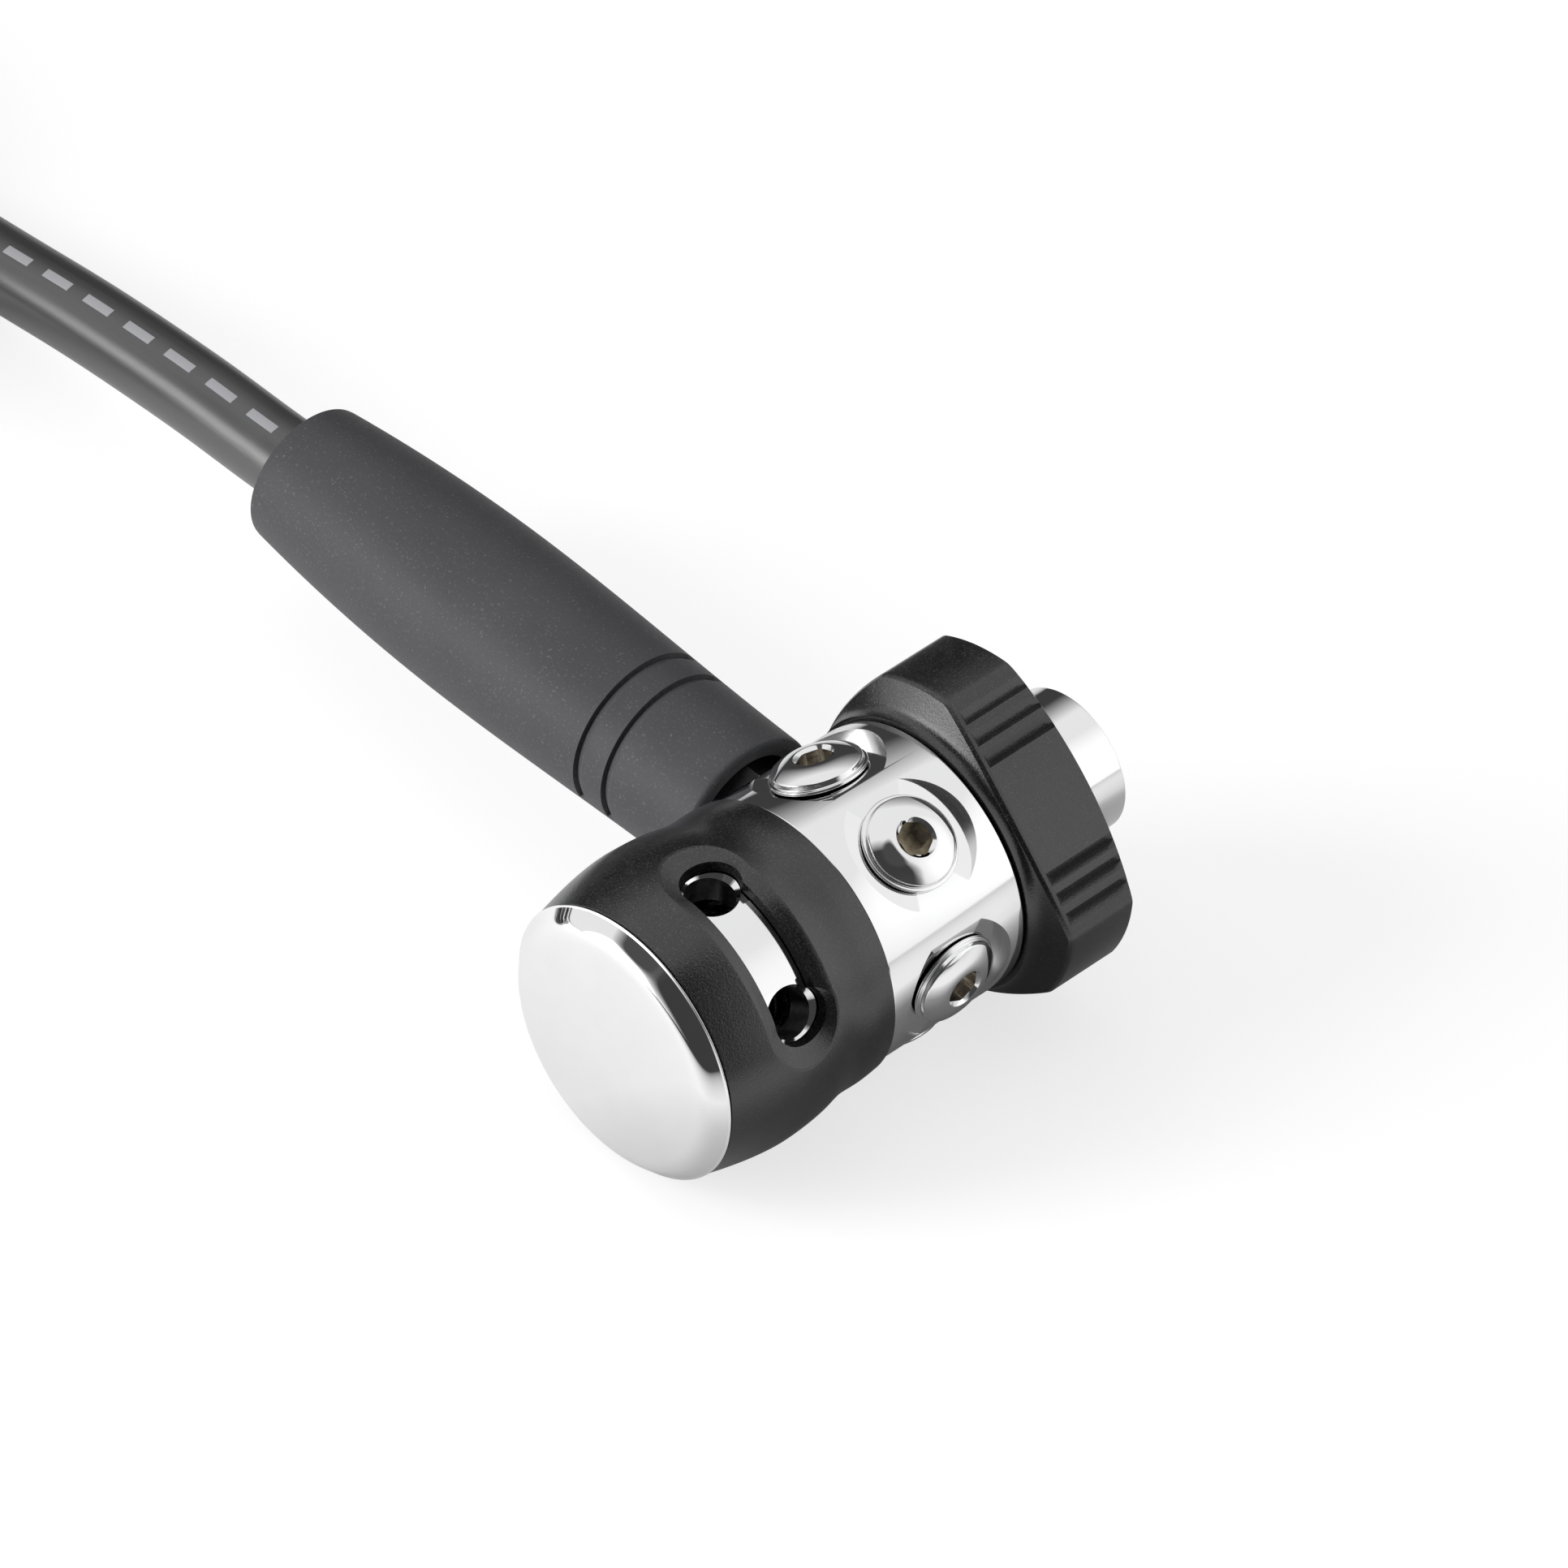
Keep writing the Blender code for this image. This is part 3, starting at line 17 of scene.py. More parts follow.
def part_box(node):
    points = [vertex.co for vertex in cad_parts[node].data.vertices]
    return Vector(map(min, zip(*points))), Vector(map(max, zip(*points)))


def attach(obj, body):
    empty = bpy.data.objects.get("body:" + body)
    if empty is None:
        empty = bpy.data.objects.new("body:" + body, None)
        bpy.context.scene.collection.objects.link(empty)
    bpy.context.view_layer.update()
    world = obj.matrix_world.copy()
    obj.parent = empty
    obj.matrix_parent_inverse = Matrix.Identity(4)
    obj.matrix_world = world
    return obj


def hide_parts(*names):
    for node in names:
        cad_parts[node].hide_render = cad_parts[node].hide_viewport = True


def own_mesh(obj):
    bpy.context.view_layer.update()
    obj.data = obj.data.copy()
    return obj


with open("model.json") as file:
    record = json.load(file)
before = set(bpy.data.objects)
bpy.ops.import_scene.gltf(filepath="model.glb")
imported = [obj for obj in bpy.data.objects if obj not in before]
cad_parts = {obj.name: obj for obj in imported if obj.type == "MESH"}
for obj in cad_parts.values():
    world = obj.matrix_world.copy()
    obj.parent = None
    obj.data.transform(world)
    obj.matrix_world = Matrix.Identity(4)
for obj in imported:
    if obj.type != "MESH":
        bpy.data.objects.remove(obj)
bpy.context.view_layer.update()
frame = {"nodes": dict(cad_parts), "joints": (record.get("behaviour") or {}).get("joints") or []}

# %% [markdown]
# ## The body's axis
#
# The body was turned on a lathe, so nearly every size on it is a radius and a height along one
# axis. The handwheel's joint lies on that axis and the collar starts a gap above the cap's seat,
# so both are read from the model. Pieces are drawn round their own Z and placed by a matrix.

# %% Find the axis
MM = 0.001
MICRON = MM / 1000
GAP = 0.3 * MM
joints = {joint["name"]: joint for joint in frame["joints"]}
spin_x, _, spin_z = joints["handwheel_spin"]["pos_m"]
cap_seat = Vector((spin_x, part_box("collar")[0].y - GAP, spin_z))
AXIS = Matrix.Translation(cap_seat) @ Matrix.Rotation(math.radians(-90), 4, "X")
print("cap seat in mm:", [round(value / MM, 2) for value in cap_seat])

# %% [markdown]
# ## Camera
#
# Product photographs are taken from far away with a long lens, which keeps round things round.
# The ellipses of the turned edges in the photograph gave its direction and its distance. The
# camera is placed so that the centre of the cap's seat falls on its own pixel.

# %% Place the camera
PHOTO_PIXELS = 1932
FOCAL_PIXELS = 14000
PIXELS_PER_MM = 9.4
SENSOR_MM = 36.0
SEAT_PIXEL = (769.5, 1284.6)
TURN = Euler((math.radians(44.452), math.radians(-3.768), math.radians(46.627)))


def put(name, data, place=Matrix()):
    """Links a new object into the scene at a place."""
    made = bpy.data.objects.new(name, data)
    bpy.context.scene.collection.objects.link(made)
    made.matrix_world = place
    return made


lens = bpy.data.cameras.new("camera")
lens.sensor_width = SENSOR_MM
lens.lens = SENSOR_MM * FOCAL_PIXELS / PHOTO_PIXELS
camera = put("camera", lens)
bpy.context.scene.camera = camera
right, up, back = TURN.to_matrix().transposed()
pixel = MM / PIXELS_PER_MM
across = (SEAT_PIXEL[0] - PHOTO_PIXELS / 2) * pixel
down = (SEAT_PIXEL[1] - PHOTO_PIXELS / 2) * pixel
camera.location = cap_seat - right * across + up * down + back * FOCAL_PIXELS * pixel
camera.rotation_euler = TURN
print("camera distance:", round(FOCAL_PIXELS * pixel, 3), "m")

# %% [markdown]
# ## Skins of rings
#
# Most pieces here are a skin over rings of points: a lathe makes each ring a circle, and the
# handwheel, the sockets and the nut use rings of other outlines. Modifiers could do some of this,
# but rings give every piece the same plain start. A ring of one point is a pole on the axis.


# %% Make a mesh from rings
def join_rings(build, rings, loop=False):
    """Adds the points of the rings and the faces between them, and gives the rows of points."""
    count = max(len(ring) for ring in rings)
    rows = []
    for ring in rings:
        verts = [build.verts.new(point) for point in ring]
        rows.append(verts * count if len(verts) == 1 else verts)
    for row, following in zip(rows, rows[1:] + rows[:1] if loop else rows[1:]):
        for i in range(count):
            j = (i + 1) % count
            corners = (row[i], row[j], following[j], following[i])
            build.faces.new(list(dict.fromkeys(corners)))
    return rows


def keep_mesh(build, name):
    """Turns all faces outwards and keeps the build as a mesh."""
    bmesh.ops.recalc_face_normals(build, faces=build.faces)
    mesh = bpy.data.meshes.new(name)
    build.to_mesh(mesh)
    build.free()
    return mesh


def shade(mesh, sharp):
    """Shades a mesh smooth, but keeps edges that turn by more than these degrees."""
    mesh.shade_smooth()
    mesh.set_sharp_from_angle(angle=math.radians(sharp))


def skin(name, rings, loop=False, sharp=30.0):
    """A mesh over rings of equal count. A loop also joins the last ring to the first."""
    build = bmesh.new()
    join_rings(build, rings, loop)
    mesh = keep_mesh(build, name)
    shade(mesh, sharp)
    return mesh


print("rings can be skinned")

# %% [markdown]
# ## The lathe
#
# A turned piece is its outline swept round the axis. Real edges are never knife sharp, and a tiny
# curve on each of them catches the light, so outlines are softened before they are turned. A bevel
# modifier would also touch the edges that have to stay as they are.

# %% Turn an outline
LEAST_CORNER = math.radians(12)
LONGEST_TRIM = 0.45
NO_RADIUS = 1e-9


def circle(radius, height, count):
    """A ring of points round Z, or one point where the radius is nothing."""
    if radius < NO_RADIUS:
        return [(0, 0, height)]
    turns = [2 * math.pi * i / count for i in range(count)]
    return [(radius * math.cos(t), radius * math.sin(t), height) for t in turns]


def rounded(outline, size, loop=True, steps=4):
    """Softens the corners of an outline with small curves that start this far before each."""
    points = [Vector(point) for point in outline]
    soft = []
    for i, corner in enumerate(points):
        before = points[i - 1] - corner
        after = points[(i + 1) % len(points)] - corner
        at_end = not loop and i in (0, len(points) - 1)
        if at_end or before.angle(-after) < LEAST_CORNER:
            soft.append(corner)
            continue
        trim = min(size, LONGEST_TRIM * before.length, LONGEST_TRIM * after.length)
        start = corner + before.normalized() * trim
        end = corner + after.normalized() * trim
        for k in range(steps + 1):
            t = k / steps
            soft.append(start * (1 - t) ** 2 + corner * 2 * t * (1 - t) + end * t * t)
    return soft


def stairs(radius, height, *moves):
    """An outline of straight steps: the moves are a new height and a new radius by turns."""
    outline = [(radius, height)]
    for i, move in enumerate(moves):
        radius, height = (move, height) if i % 2 else (radius, move)
        outline.append((radius, height))
    return outline


def lathe(name, outline, steps):
    """Turns (radius, height) points round Z. An outline that starts off the axis is a loop."""
    loop = outline[0][0] > NO_RADIUS
    return skin(name, [circle(radius, height, steps) for radius, height in outline], loop)


def add_piece(name, mesh, look, *nodes, body="first_stage", slot="chrome", place=AXIS):
    """Puts a mesh into the scene on a body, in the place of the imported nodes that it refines."""
    piece = put(name, mesh, place)
    mesh.materials.clear()
    mesh.materials.append(look)
    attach(piece, body)
    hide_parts(*nodes)
    print(f"{name}: {len(mesh.polygons)} faces")
    return piece


print("the lathe is ready")

# %% [markdown]
# ## Shader maths as plain expressions
#
# A material's pattern is arithmetic on coordinates. This class wraps a socket, so that a sum or
# product of wires adds the Math node for it, and its one method adds any other kind of node.


# %% Wrap a socket
def operator(operation, swapped=False):
    """A method that adds the Math node of an operator, with its two sides swapped if asked."""

    def add_node(self, other):
        sides = (other, self) if swapped else (self, other)
        return self.math(operation, *sides)

    return add_node


class Wire:
    """A value that flows through a material's nodes."""

    def __init__(self, socket):
        self.socket = socket

    def node(self, kind, settings=None, inputs=None, output=0):
        """Adds a node. Its settings are set first, then its sockets get values or wires."""
        tree = self.socket.id_data
        made = tree.nodes.new(kind)
        for key, value in (settings or {}).items():
            setattr(made, key, value)
        for key, value in (inputs or {}).items():
            if isinstance(value, Wire):
                tree.links.new(value.socket, made.inputs[key])
            else:
                made.inputs[key].default_value = value
        return Wire(made.outputs[output])

    def math(self, operation, *values):
        """Adds a Math node on these values, or on this wire alone."""
        inputs = dict(enumerate(values or (self,)))
        return self.node("ShaderNodeMath", {"operation": operation}, inputs)

    __add__ = __radd__ = operator("ADD")
    __sub__, __rsub__ = operator("SUBTRACT"), operator("SUBTRACT", swapped=True)
    __mul__ = __rmul__ = operator("MULTIPLY")
    __truediv__, __rtruediv__ = operator("DIVIDE"), operator("DIVIDE", swapped=True)
    __pow__, __rpow__ = operator("POWER"), operator("POWER", swapped=True)
    __gt__, __lt__ = operator("GREATER_THAN"), operator("LESS_THAN")

    def split(self):
        """The three parts of a vector."""
        return [self.node("ShaderNodeSeparateXYZ", {}, {0: self}, part) for part in range(3)]

    def noise(self, scale, detail=2.0, roughness=0.5):
        """Soft random patches, as many to the metre as the scale says."""
        inputs = {"Vector": self, "Scale": scale, "Detail": detail, "Roughness": roughness}
        return self.node("ShaderNodeTexNoise", {}, inputs)

    def between(self, low, high):
        """Rises from 0 to 1 as the value goes from low to high, and stays inside."""
        return self.node("ShaderNodeMapRange", {}, {0: self, 1: low, 2: high})

    def blend(self, dark, light):
        """A colour between two others, with this value as the share of the second."""
        settings = {"data_type": "RGBA"}
        return self.node("ShaderNodeMix", settings, {0: self, 6: dark, 7: light}, 2)

    def drift(self, dark, light):
        """A colour that drifts between two others with this noise, which stays near a half."""
        return self.between(0.3, 0.7).blend(dark, light)

    def relief(self, depth):
        """A normal for a surface whose height is this value times a depth in metres."""
        return self.node("ShaderNodeBump", {}, {"Height": self, "Distance": depth})


print("wires can be added and multiplied")

# %% [markdown]
# ## Starting a finish
#
# Each finish is one Principled shader whose sockets are fed by wires. The pattern reads the
# piece's own coordinates in metres, so it moves with the piece and grain has its real size.


# %% Start and feed a finish
def new_finish(name, **fixed):
    """A material with its shader, and a wire of the piece's own coordinates in metres."""
    look = bpy.data.materials.new(name)
    look.use_nodes = True
    shader = look.node_tree.nodes["Principled BSDF"]
    for socket, value in fixed.items():
        shader.inputs[socket.replace("_", " ")].default_value = value
    start = look.node_tree.nodes.new("ShaderNodeTexCoord")
    return look, shader, Wire(start.outputs["Object"])


def feed(shader, **wires):
    """Links wires to the shader's sockets."""
    for socket, wire in wires.items():
        tree = wire.socket.id_data
        tree.links.new(wire.socket, shader.inputs[socket.replace("_", " ")])


def grey(value, tint=0.0):
    """A grey, slightly cool where the tint is above nothing."""
    return (value, value, value * (1 + tint), 1.0)


print("finishes can be fed")

# %% [markdown]
# ## Chrome
#
# The metal pieces are turned brass with bright nickel and chrome on them. A mirror shows what
# stands round it, so the finish itself needs little: a nearly white metal, a low roughness with
# faint cloudy wear, and turning marks. Marks left by a tool run round the axis, so their noise
# only knows the distance from the axis and the height along it. The walls that a milling cutter
# left are the dullest.

# %% Chrome finishes
MARKS_PER_METRE = 5200.0
CLOUDS_PER_METRE = 160.0


def chrome_finish(name, tone, roughness, mark_depth):
    look, shader, place = new_finish(name, Metallic=1.0)
    x, y, height = place.split()
    radius = (x * x + y * y) ** 0.5
    along_cut = place.node("ShaderNodeCombineXYZ", {}, {0: radius, 1: height})
    marks = along_cut.noise(MARKS_PER_METRE, 3.0, 0.6)
    cloud = place.noise(CLOUDS_PER_METRE, 3.0)
    feed(
        shader,
        Base_Color=cloud.drift(grey(tone * 0.975), grey(tone, 0.006)),
        Roughness=cloud * 0.02 + marks * 0.02 + (roughness - 0.02),
        Normal=marks.relief(mark_depth),
    )
    return look


CHROME = chrome_finish("chrome", 0.86, 0.045, 0.4 * MICRON)
TURNED_CHROME = chrome_finish("turned_chrome", 0.86, 0.08, 1.2 * MICRON)
MILLED_CHROME = chrome_finish("milled_chrome", 0.8, 0.26, 3 * MICRON)
print("made", CHROME.name, TURNED_CHROME.name, MILLED_CHROME.name)

# %% [markdown]
# ## Black plastic
#
# The collar and the handwheel are moulded from filled nylon. Its skin is satin black with a
# very fine spark-eroded grain that sparkles in the highlights, so two sizes of noise give a shallow
# relief and break up the roughness, and a third paints glints: single grains in a lighter colour.

# %% Black plastic finish
BLACK_PLASTIC, shader, place = new_finish("black_plastic", Specular_IOR_Level=0.8)
grain = place.noise(3400.0, 2.0, 0.6)
mottle = place.noise(420.0, 3.0)
# Painted glints: the peaks of a fine noise lift single grains to a lighter colour.
painted_glint = place.noise(4600.0, 1.0).between(0.56, 0.74)
base = mottle.drift(grey(0.005, 0.02), grey(0.009, 0.03))
feed(
    shader,
    Base_Color=(painted_glint * 0.7).blend(base, grey(0.06, 0.02)),
    Roughness=grain * 0.14 + mottle * 0.06 + 0.12,
    Normal=(grain + mottle * 0.3).relief(30 * MICRON),
)
print("made", BLACK_PLASTIC.name)

# %% [markdown]
# ## Sleeve and seal rubber
#
# The sleeve is matte dark grey with pale specks of talc in its pores, so one noise gives the pores
# and the peaks of another the specks. The seals are plain black rubber with a faint grain.

# %% Sleeve and seal finishes
SLEEVE_RUBBER, shader, place = new_finish("sleeve_rubber")
pores = place.noise(3600.0, 3.0, 0.65)
specks = place.noise(2600.0, 2.0, 0.7).between(0.6, 0.78)
patches = place.noise(90.0, 3.0)
base = patches.drift(grey(0.036, 0.09), grey(0.044, 0.1))
feed(
    shader,
    Base_Color=(specks * 0.5).blend(base, grey(0.2, 0.02)),
    Roughness=pores * 0.2 + patches * 0.1 + 0.4,
    Normal=(pores + specks * 0.6).relief(30 * MICRON),
)

SEAL_RUBBER, shader, place = new_finish("seal_rubber")
pores = place.noise(4000.0, 2.0)
feed(
    shader,
    Base_Color=pores.blend(grey(0.01), grey(0.018)),
    Roughness=pores * 0.2 + 0.3,
    Normal=pores.relief(4 * MICRON),
)
print("made", SLEEVE_RUBBER.name, SEAL_RUBBER.name)

# %% [markdown]
# ## Hose rubber
#
# The hose has a smooth extruded cover with long faint streaks and a row of plain pale dashes. Both
# follow its own length and not the room, so they read a vector that the hose's mesh carries: the
# cosine and sine round it and the metres along it. A map would do too, but it has a seam.

# %% Hose finish
DASH_TURN = math.radians(-15)
DASH_PITCH = 8.5 * MM
DASH_SHARE = 0.62
DASH_HALF = 0.12

HOSE_RUBBER, shader, place = new_finish("hose_rubber", IOR=1.7, Specular_IOR_Level=0.8)
lay = place.node("ShaderNodeAttribute", {"attribute_name": "lay"}, {}, 1)
cosine, sine, along = lay.split()
stretched = place.node("ShaderNodeCombineXYZ", {}, {0: cosine, 1: sine, 2: along * 6.0})
streaks = stretched.noise(9.0, 3.0, 0.6)
pores = place.noise(3800.0, 2.0)
around = cosine * math.sin(DASH_TURN) - sine * math.cos(DASH_TURN)
facing = cosine * math.cos(DASH_TURN) + sine * math.sin(DASH_TURN) > 0.0
in_row = around.math("ABSOLUTE") < DASH_HALF
dashes = facing * ((along / DASH_PITCH).math("FRACT") < DASH_SHARE) * in_row
cover = streaks.drift(grey(0.018, 0.05), grey(0.026, 0.06))
feed(
    shader,
    Base_Color=(dashes * 0.8).blend(cover, grey(0.3, 0.06)),
    Roughness=streaks * 0.1 + pores * 0.06 + dashes * 0.15 + 0.24,
    Normal=(streaks + pores * 0.3).relief(8 * MICRON),
)
print("made", HOSE_RUBBER.name)

# %% [markdown]
# ## Inner metals, plastic and cloth
#
# The pieces inside are turned brass, a filter of bonded bronze grains, spring wire and white
# plastic, and the bare metal of sockets and the chamber is duller than the chrome. They differ only
# in colour and grain, so one function makes them all. The band round the coil is woven, so its
# finish is a checker of warp and weft.


# %% Inner finishes
def plain_finish(name, dark, light, roughness, scale, depth, metallic=1.0):
    look, shader, place = new_finish(name, Metallic=metallic)
    grain = place.noise(scale, 3.0, 0.6)
    feed(
        shader,
        Base_Color=grain.drift((*dark, 1.0), (*light, 1.0)),
        Roughness=grain * 0.12 + (roughness - 0.06),
        Normal=grain.relief(depth * MICRON),
    )
    return look


BRASS = plain_finish("brass", (0.66, 0.48, 0.22), (0.8, 0.61, 0.31), 0.22, 900.0, 2)
BRONZE = plain_finish("bronze", (0.36, 0.25, 0.14), (0.62, 0.47, 0.3), 0.6, 2600.0, 60)
STEEL = plain_finish("spring_steel", (0.42, 0.42, 0.44), (0.56, 0.56, 0.58), 0.28, 2000.0, 3)
WHITE = plain_finish("white_plastic", (0.8, 0.8, 0.77), (0.87, 0.87, 0.84), 0.4, 1500.0, 5, 0.0)
SOCKET = plain_finish("socket_floor", (0.2, 0.165, 0.115), (0.46, 0.39, 0.28), 0.42, 900.0, 10)
CHAMBER = plain_finish("chamber", (0.36, 0.36, 0.37), (0.5, 0.5, 0.51), 0.3, 1200.0, 4)

THREADS = 4200.0
WEBBING, shader, place = new_finish("webbing", Sheen_Weight=0.3)
_, y, height = place.split()
weave = (y * THREADS).math("SINE") * (height * THREADS).math("SINE") * 0.5 + 0.5
fuzz = place.noise(2500.0, 2.0)
feed(
    shader,
    Base_Color=(weave * 0.7 + fuzz * 0.3).blend(grey(0.008), grey(0.03)),
    Roughness=fuzz * 0.2 + 0.7,
    Normal=(weave + fuzz * 0.4).relief(120 * MICRON),
)
print("made", BRASS.name, BRONZE.name, STEEL.name, WHITE.name, SOCKET.name, WEBBING.name)

# %% [markdown]
# ## The run of the hose
#
# A low-pressure hose is 12 mm thick and stiff: it leaves its port straight, sinks to the table
# in one long bow and lies there. A physics run could drape it, but would differ each time. So the
# route points are the ones that the solids follow, and one smooth curve through them is read at
# small steps.

# %% Trace the run
HOSE = 12.0 * MM
HOSE_START = 46.25 * MM
SLEEVE_END = 109.6 * MM
PORT_HEIGHT = 41.8 * MM
HOSE_ANGLE = -92.0
HOSE_ROUTE = (
    (120, 18.1), (135, 17.1), (155, 14.7), (175, 11.2),
    (195, 7.9), (212, 6.4), (226, 6.05), (238, 6.05),
)


def port_place(angle, height=PORT_HEIGHT):
    """A matrix on the axis whose Z points out of the port at this angle from straight up."""
    turn = Euler((math.pi / 2, 0, math.radians(angle))).to_matrix().to_4x4()
    return AXIS @ Matrix.Translation((0, 0, height)) @ turn


def bowed(points, parts=10):
    """A smooth curve through points, read at equal parts between each two."""
    curve = []
    for i in range(len(points) - 1):
        here, there = points[i], points[i + 1]
        leave = (there - points[max(i - 1, 0)]) / 2
        arrive = (points[min(i + 2, len(points) - 1)] - here) / 2
        for part in range(parts):
            t = part / parts
            curve.append(
                (2 * t ** 3 - 3 * t ** 2 + 1) * here
                + (t ** 3 - 2 * t ** 2 + t) * leave
                + (3 * t ** 2 - 2 * t ** 3) * there
                + (t ** 3 - t ** 2) * arrive
            )
    return curve + [points[-1]]


HOSE_PORT = port_place(HOSE_ANGLE)
straight = [HOSE_PORT @ Vector((0, 0, d)) for d in np.linspace(HOSE_START, SLEEVE_END, 3)]
hose_exit = straight[0]
table = [Vector((-away * MM, hose_exit.y, height * MM)) for away, height in HOSE_ROUTE]
run = bowed(straight + table)
print("run of the hose:", len(run), "points")

# %% [markdown]
# ## The coil
#
# The length that the photograph doesn't show lies coiled just outside the view, under a band. Its
# radius and its height are functions of the turn: it narrows near the end, climbs onto its own
# first turn, and rises a little wherever it passes the band.

# %% Trace the coil
COIL_RADIUS = 66.0 * MM
COIL_END_RADIUS = 52.0 * MM
COIL_TURN = 540.0
COIL_STEP = 3.0
COIL_LAYER = HOSE + 0.5 * MM
COIL_END_HEIGHT = 22.604 * MM
COIL_NARROWS = (400, 540)
COIL_CLIMBS = (235, 345)
COIL_SETTLES = (430, 540)
TIE_TURN = 37.5
TIE_HUMP = 1.6 * MM
TIE_HUMP_TURN = 26.0


def smooth_step(value, low, high):
    """Rises gently from 0 to 1 between low and high."""
    share = min(max((value - low) / (high - low), 0.0), 1.0)
    return share * share * (3 - 2 * share)


coil_start = run[-1] - Vector((GAP, 0, 0))
coil_centre = coil_start - Vector((HOSE, COIL_RADIUS, 0))
coil = [coil_start]
for degrees in np.linspace(0, COIL_TURN, round(COIL_TURN / COIL_STEP) + 1):
    narrowing = smooth_step(degrees, *COIL_NARROWS)
    radius = COIL_RADIUS + (COIL_END_RADIUS - COIL_RADIUS) * narrowing
    height = coil_start.z + COIL_LAYER * smooth_step(degrees, *COIL_CLIMBS)
    settling = smooth_step(degrees, *COIL_SETTLES)
    height += (COIL_END_HEIGHT - coil_start.z - COIL_LAYER) * settling
    for passing in (TIE_TURN, TIE_TURN + 360):
        height += TIE_HUMP * math.exp(-(((degrees - passing) / TIE_HUMP_TURN) ** 2))
    turn = math.radians(90 + degrees)
    side = Vector((radius * math.cos(turn), radius * math.sin(turn), 0))
    coil.append(Vector((coil_centre.x + side.x, coil_centre.y + side.y, height)))
coil.append(coil[-1] + Vector((HOSE, 0, 0)))
hose_path = run + coil
hose_length = sum((b - a).length for a, b in zip(hose_path, hose_path[1:]))
print(f"hose: {hose_length:.3f} m in {len(hose_path)} points")

# %% [markdown]
# ## The hose
#
# The tube is a skin of rings square to the route. A curve with a bevel would be shorter to write,
# but couldn't tell the finish where each point lies round and along the hose. Straight up is never
# along the hose, so it gives each ring the same upright start without any twist.

# %% Make the hose
HOSE_SIDES = 40


def tube_rings(path, radius, sides):
    """Rings of points round a path, and for each point its turn and its place along."""
    rings, lay = [], []
    gone = 0.0
    for i, spot in enumerate(path):
        ahead = (path[min(i + 1, len(path) - 1)] - path[max(i - 1, 0)]).normalized()
        side = ahead.cross(Vector((0, 0, 1))).normalized()
        top = side.cross(ahead)
        gone += (spot - path[i - 1]).length if i else 0.0
        turns = [2 * math.pi * k / sides for k in range(sides)]
        rings.append([spot + radius * (math.cos(t) * top + math.sin(t) * side) for t in turns])
        lay += [(math.cos(t), math.sin(t), gone) for t in turns]
    return rings, lay


rings, lay = tube_rings(hose_path, HOSE / 2, HOSE_SIDES)
mesh = skin("hose", [[hose_path[0]]] + rings + [[hose_path[-1]]], sharp=50.0)
values = mesh.attributes.new("lay", "FLOAT_VECTOR", "POINT")
lay = [(0, 0, 0)] + lay + [(0, 0, hose_length)]
values.data.foreach_set("vector", np.array(lay, np.float32).ravel())
hose = add_piece(
    "hose", mesh, HOSE_RUBBER, "hose_run", "hose_coil", slot="hose_rubber", place=Matrix()
)

# %% [markdown]
# ## The sleeve
#
# The protector is a moulded rubber sleeve that keeps the hose from kinking at its fitting. It
# swells gently towards its middle and tapers to the hose. Two steps are moulded round it near
# the body: a ramp that sinks towards a sharp wall. They stop short where the mould parted, so
# the radius depends on the turn as well as on the place along the sleeve.

# %% Shape the sleeve
SLEEVE_START = 20.8 * MM
SLEEVE_TIP = 109.3 * MM
SLEEVE_MOUTH = 11.656 * MM
SLEEVE_BULGE = 1.1 * MM
SLEEVE_BULGE_PLACE = 70.8 * MM
SLEEVE_TIP_DROP = 1.1 * MM
STEP_WALLS = (36.7 * MM, 42.0 * MM)
STEP_DEPTH = 0.7 * MM
STEP_RAMP = 1.4 * MM
STEP_WALL = 0.2 * MM
PARTING_TURN = math.radians(54)
PARTING_HALF = math.radians(7)
PARTING_FADE = 0.03


def sleeve_radius(place):
    if place < SLEEVE_BULGE_PLACE:
        return SLEEVE_MOUTH + SLEEVE_BULGE * smooth_step(place, SLEEVE_START, SLEEVE_BULGE_PLACE)
    share = (place - SLEEVE_BULGE_PLACE) / (SLEEVE_TIP - SLEEVE_BULGE_PLACE)
    return SLEEVE_MOUTH + SLEEVE_BULGE - (SLEEVE_BULGE + SLEEVE_TIP_DROP) * share ** 2


def step_depth(place, turn):
    """How deep the moulded steps lie at a place along the sleeve and a turn round it."""
    depth = 0.0
    for wall in STEP_WALLS:
        if wall - STEP_RAMP < place <= wall:
            depth = STEP_DEPTH * (place - wall + STEP_RAMP) / STEP_RAMP
        elif wall < place < wall + STEP_WALL:
            depth = STEP_DEPTH * (1 - (place - wall) / STEP_WALL)
    beside = abs(math.remainder(turn - PARTING_TURN, math.pi))
    return depth * smooth_step(beside, PARTING_HALF, PARTING_HALF + PARTING_FADE)


mouth, tip = sleeve_radius(SLEEVE_START), sleeve_radius(SLEEVE_TIP)
print(f"sleeve radius in mm: {mouth / MM:.2f} at the mouth, {tip / MM:.2f} at the tip")

# %% [markdown]
# ## The sleeve's rings
#
# Rings lie close together where a step has its ramp and its wall, and far apart elsewhere. The
# mouth and the tip are rounded outlines that lead into the bore, as they are in the mould.

# %% Make the sleeve
SLEEVE_SIDES = 288
SLEEVE_STEPS = 90
RAMP_SHARES = (1.0, 0.9, 0.5, 0.1, 0.0)
WALL_SHARES = (0.3, 0.7, 1.0, 1.6)
SLEEVE_BORE = 8.556 * MM
SLEEVE_NECK = 9.8 * MM
FERRULE_END = 45.95 * MM
TIP_EDGE = 0.6 * MM
MOUTH_EDGE = 2.0 * MM

